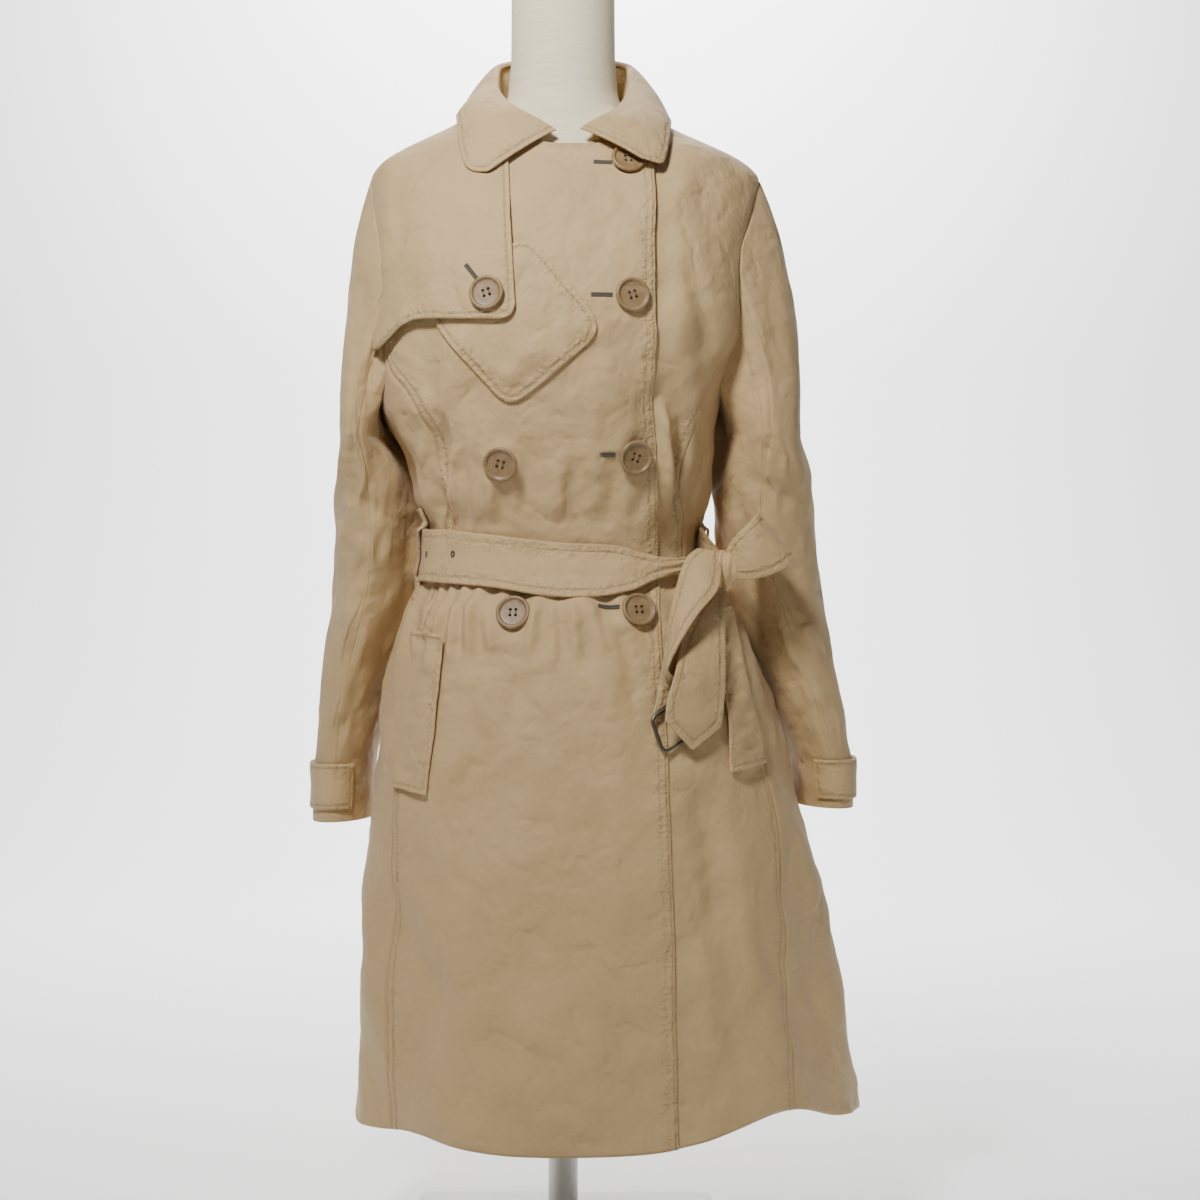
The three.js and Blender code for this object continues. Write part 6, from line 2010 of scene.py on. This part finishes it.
def thread_finish(name, colour, roughness=0.6):
    """Twisted sewing thread."""
    thread = Finish(name, Sheen_Weight=0.15)
    twist = thread.noise(1400, 2, 0.5)
    thread.bump(twist, MM * 0.1, 0.6)
    thread.paint(thread.blend(twist, tone(colour, 0.86), tone(colour, 1.12)), twist * 0.1 + roughness)
    return thread.material


def horn_finish(colour, rim):
    """Polished brown horn with soft streaks of a lighter tone."""
    horn = Finish("Brown horn", Specular_IOR_Level=0.5)
    values = {"Scale": 60.0, "Detail": 5.0, "Roughness": 0.6, "Distortion": 1.6, "Vector": horn.place()}
    streak = horn.node("TexNoise", {}, values)
    fine = horn.noise(420, 3, 0.6)
    mottled = horn.blend(((streak - 0.5) * 2.2 + 0.5).clamp(), tone(colour, 0.78), rim)
    horn.paint(horn.blend((fine - 0.5) * 0.7 + 0.2, mottled, tone(colour, 0.55)), fine * 0.16 + 0.34)
    horn.bump(fine + streak, MM * 0.12, 0.5)
    return horn.material


def metal_finish(name, colour, roughness, brushed=500.0):
    """Metal with faint scratches and dull spots."""
    metal = Finish(name, Metallic=1.0)
    scratch = metal.noise(brushed, 4, 0.65)
    spots = metal.noise(90, 3, 0.5)
    metal.paint(metal.blend(spots, tone(colour, 0.82), tone(colour, 1.08)), scratch * 0.18 + roughness)
    metal.bump(scratch, MM * 0.05, 0.5)
    return metal.material


def linen_finish(colour):
    """Natural linen: a plain weave with uneven slubs."""
    linen = Finish("Natural linen", Sheen_Weight=0.12, Specular_IOR_Level=0.25)
    x, y, z = linen.split(linen.place())
    turn = x.math("ARCTAN2", x, y) * 0.05
    weft = (z * (2 * math.pi / LINEN_PITCH)).sin()
    warp = (turn * (2 * math.pi / LINEN_PITCH)).sin()
    drawn = linen.node("CombineXYZ", {}, {0: x, 1: y, 2: z * 14})
    slub = linen.node("TexNoise", {}, {"Scale": 40.0, "Detail": 5.0, "Vector": drawn})
    linen.bump(weft * 0.06 + warp * 0.06 + (slub - 0.5) * 0.5, MM, 0.8)
    toned = linen.blend(((slub - 0.5) * 2.4 + 0.5).clamp(), tone(colour, 0.93), tone(colour, 1.05))
    woven = linen.blend((weft * warp * 0.5 + 0.5) * 0.16, toned, tone(colour, 0.78))
    linen.paint(woven, slub * 0.1 + 0.75)
    return linen.material


def wood_finish(colour):
    """Dark stained wood with a fine grain under satin varnish."""
    wood = Finish("Dark stained wood", Coat_Roughness=0.25)
    wood.shader.inputs["Coat Weight"].default_value = 0.35
    values = {"Scale": 22.0, "Distortion": 5.0, "Detail": 3.0, "Detail Scale": 2.0, "Vector": wood.place()}
    ring = wood.node("TexWave", {"wave_type": "BANDS"}, values)
    pore = wood.noise(320, 3, 0.6)
    grain = wood.blend(ring * 0.8, tone(colour, 0.7), tone(colour, 1.35))
    wood.paint(wood.blend(pore * 0.35, grain, tone(colour, 0.45)), pore * 0.12 + 0.4)
    wood.bump(ring * 0.6 + pore * 0.4, MM * 0.15, 0.5)
    return wood.material


def paint_finish(colour):
    """Pale grey enamel on steel, with a faint orange peel and small scuffs."""
    paint = Finish("Pale grey enamel")
    peel = paint.noise(300, 2, 0.5)
    scuff = ((paint.noise(18, 6, 0.7) - 0.58) * 7).clamp()
    paint.paint(paint.blend(scuff * 0.4, colour, tone(colour, 0.78)), scuff * 0.2 + 0.4)
    paint.bump(peel - scuff * 0.6, MM * 0.06, 0.5)
    return paint.material


def floor_finish():
    floor = Finish("Studio paper", Specular_IOR_Level=0.15)
    grain = floor.noise(260, 3, 0.5)
    colour = COLOURS["paper"]
    floor.paint(floor.blend(grain, tone(colour, 0.985), colour), grain * 0.05 + 0.85)
    return floor.material


def mix_finishes():
    sizes = bpy.context.scene.coat_sizes
    finishes["cloth"] = cloth_finish(tuple(sizes.cloth_colour))
    finishes["thread"] = thread_finish("Beige thread", tone(tuple(sizes.cloth_colour), 0.9))
    finishes["dark_thread"] = thread_finish("Dark grey thread", COLOURS["dark_thread"], 0.7)
    finishes["button_thread"] = thread_finish("Brown thread", COLOURS["brown_thread"], 0.7)
    finishes["horn"] = horn_finish(tuple(sizes.button_colour), COLOURS["horn_rim"])
    finishes["metal"] = metal_finish("Antique nickel", COLOURS["nickel"], 0.3)
    finishes["steel"] = metal_finish("Brushed steel", COLOURS["steel"], 0.28, 900.0)
    finishes["linen"] = linen_finish(tuple(sizes.linen_colour))
    finishes["wood"] = wood_finish(COLOURS["wood"])
    finishes["paint"] = paint_finish(COLOURS["enamel"])
    finishes["floor"] = floor_finish()


WORLD = {"colour": (1.0, 0.99, 0.975, 1), "strength": 0.04}
BACKDROP = {"half": 4.0, "back": 3.2, "height": 4.0, "radius": 1.2, "drop": 0.0002}
CAMERA = {"place": (0.035, -1.9, 0.613), "lens": 60.0, "sensor": 36.0}
LAMPS = [
    # place, what it points at, size and power
    ((-0.34, -0.95, 1.7), (0, 0, 1.0), 0.3, 24.5),
    ((0.9, -2.4, 1.3), (0, 0, 0.9), 1.0, 4),
    ((0.0, 1.7, 2.9), (0, 3.2, 0.7), 1.8, 270),
]


def light_stage():
    """The floor, the lamps, the world's light and the camera."""
    floor = bpy.data.meshes.new("studio_floor")
    half, radius = BACKDROP["half"], BACKDROP["radius"]
    bend = BACKDROP["back"] - radius
    curve = [(-half, 0.0), (bend, 0.0)]
    for t in np.linspace(0.1, math.pi / 2, 16):
        curve.append((bend + radius * math.sin(t), radius - radius * math.cos(t)))
    curve.append((BACKDROP["back"], BACKDROP["height"]))
    points = [(x, y, z - BACKDROP["drop"]) for y, z in curve for x in (-half, half)]
    faces = [(2 * i, 2 * i + 1, 2 * i + 3, 2 * i + 2) for i in range(len(curve) - 1)]
    floor.from_pydata(points, [], faces)
    floor.polygons.foreach_set("use_smooth", [True] * len(faces))
    floor.materials.append(finishes["floor"])
    stand = bpy.data.objects.new("studio_floor", floor)
    bpy.context.scene.collection.objects.link(stand)
    for number, (place, target, size, power) in enumerate(LAMPS, 1):
        light = bpy.data.lights.new(f"soft_lamp_{number}", "AREA")
        light.shape = "DISK"
        light.size = size
        light.energy = power
        lamp = bpy.data.objects.new(f"soft_lamp_{number}", light)
        lamp.location = place
        aim = Vector(target) - Vector(place)
        lamp.rotation_euler = aim.to_track_quat("-Z", "Y").to_euler()
        bpy.context.scene.collection.objects.link(lamp)
    world = bpy.data.worlds.new("studio")
    bpy.context.scene.world = world
    world.use_nodes = True
    background = world.node_tree.nodes["Background"]
    background.inputs["Color"].default_value = WORLD["colour"]
    background.inputs["Strength"].default_value = WORLD["strength"]
    data = bpy.data.cameras.new("camera")
    data.lens = CAMERA["lens"]
    data.sensor_width = CAMERA["sensor"]
    camera = bpy.data.objects.new("camera", data)
    camera.location = CAMERA["place"]
    camera.rotation_euler = (math.pi / 2, 0, 0)
    bpy.context.scene.collection.objects.link(camera)
    bpy.context.scene.camera = camera


class CoatSizes(bpy.types.PropertyGroup):
    """The sizes and colours that a user would change."""

    stitch_spacing: bpy.props.FloatProperty(
        name="Stitch spacing", description="From one stitch to the next", default=STITCH["Spacing"],
        unit="LENGTH", precision=5,
    )
    stitch_length: bpy.props.FloatProperty(
        name="Stitch length", description="Length of one stitch", default=STITCH["Length"],
        unit="LENGTH", precision=5,
    )
    stitch_thickness: bpy.props.FloatProperty(
        name="Thread", description="Thickness of the thread", default=STITCH["Thickness"],
        unit="LENGTH", precision=5,
    )
    cloth_colour: bpy.props.FloatVectorProperty(
        name="Cloth", description="Colour of the coat's cotton", default=COLOURS["cloth"], subtype="COLOR", size=3
    )
    button_colour: bpy.props.FloatVectorProperty(
        name="Buttons", description="Colour of the horn buttons", default=COLOURS["horn"], subtype="COLOR", size=3
    )
    linen_colour: bpy.props.FloatVectorProperty(
        name="Linen", description="Colour of the form's linen", default=COLOURS["linen"], subtype="COLOR", size=3
    )


class COAT_OT_body(bpy.types.Operator):
    """Sews the five panels of the coat's body."""

    bl_idname = "coat.body"
    bl_label = "Sew the body"

    def execute(self, context):
        sew_body()
        return {"FINISHED"}


class COAT_OT_sleeves(bpy.types.Operator):
    """Sews both sleeves and their cuff straps."""

    bl_idname = "coat.sleeves"
    bl_label = "Sew the sleeves"

    def execute(self, context):
        sew_sleeves()
        return {"FINISHED"}


class COAT_OT_collar(bpy.types.Operator):
    """Sews the collar's stand and its leaf."""

    bl_idname = "coat.collar"
    bl_label = "Sew the collar"

    def execute(self, context):
        sew_collar()
        return {"FINISHED"}


class COAT_OT_flap(bpy.types.Operator):
    """Sews the chest flap and the tab below it."""

    bl_idname = "coat.flap"
    bl_label = "Sew the flap and the tab"

    def execute(self, context):
        sew_flap_and_tab()
        return {"FINISHED"}


class COAT_OT_pockets(bpy.types.Operator):
    """Sews the welts over the two pockets."""

    bl_idname = "coat.pockets"
    bl_label = "Sew the pocket welts"

    def execute(self, context):
        sew_welts()
        return {"FINISHED"}


class COAT_OT_belt(bpy.types.Operator):
    """Lays the belt round the waist and ties it."""

    bl_idname = "coat.belt"
    bl_label = "Tie the belt"

    def execute(self, context):
        sew_belt()
        punch_eyelets()
        return {"FINISHED"}


class COAT_OT_buckle(bpy.types.Operator):
    """Makes the buckle's bar and its pin."""

    bl_idname = "coat.buckle"
    bl_label = "Make the buckle"

    def execute(self, context):
        make_buckle()
        return {"FINISHED"}


class COAT_OT_buttons(bpy.types.Operator):
    """Turns the buttons and works the buttonholes."""

    bl_idname = "coat.buttons"
    bl_label = "Sew on the buttons"

    def execute(self, context):
        sew_buttons()
        work_buttonholes()
        return {"FINISHED"}


class COAT_OT_stitching(bpy.types.Operator):
    """Lays the stitches along every seam."""

    bl_idname = "coat.stitching"
    bl_label = "Sew the topstitching"

    def execute(self, context):
        sew_stitches()
        return {"FINISHED"}


class COAT_OT_form(bpy.types.Operator):
    """Makes the form, its cap, its pole and its plate."""

    bl_idname = "coat.form"
    bl_label = "Make the dress form"

    def execute(self, context):
        make_form()
        return {"FINISHED"}


class COAT_OT_stage(bpy.types.Operator):
    """Sets the floor, the lamps and the camera."""

    bl_idname = "coat.stage"
    bl_label = "Light the studio"

    def execute(self, context):
        light_stage()
        return {"FINISHED"}


OPERATORS = (
    COAT_OT_body,
    COAT_OT_sleeves,
    COAT_OT_collar,
    COAT_OT_flap,
    COAT_OT_pockets,
    COAT_OT_belt,
    COAT_OT_buckle,
    COAT_OT_buttons,
    COAT_OT_stitching,
    COAT_OT_form,
    COAT_OT_stage,
)


class COAT_PT_sidebar(bpy.types.Panel):
    """Lists the coat's sizes and the steps that make it."""

    bl_idname = "COAT_PT_sidebar"
    bl_label = "Trench coat"
    bl_space_type = "VIEW_3D"
    bl_region_type = "UI"
    bl_category = "Coat"

    def draw(self, context):
        for name in CoatSizes.__annotations__:
            self.layout.prop(context.scene.coat_sizes, name)
        for operator in OPERATORS:
            self.layout.operator(operator.bl_idname)


def register():
    for made in (CoatSizes, *OPERATORS, COAT_PT_sidebar):
        bpy.utils.register_class(made)
    bpy.types.Scene.coat_sizes = bpy.props.PointerProperty(type=CoatSizes)


def unregister():
    del bpy.types.Scene.coat_sizes
    for made in (COAT_PT_sidebar, *reversed(OPERATORS), CoatSizes):
        bpy.utils.unregister_class(made)


def main():
    register()
    mix_finishes()
    measure_panels()
    bpy.ops.coat.body()
    bpy.ops.coat.sleeves()
    bpy.ops.coat.collar()
    bpy.ops.coat.flap()
    bpy.ops.coat.pockets()
    bpy.ops.coat.belt()
    bpy.ops.coat.buckle()
    bpy.ops.coat.buttons()
    bpy.ops.coat.stitching()
    bpy.ops.coat.form()
    bpy.ops.coat.stage()


if __name__ == "__main__":
    main()
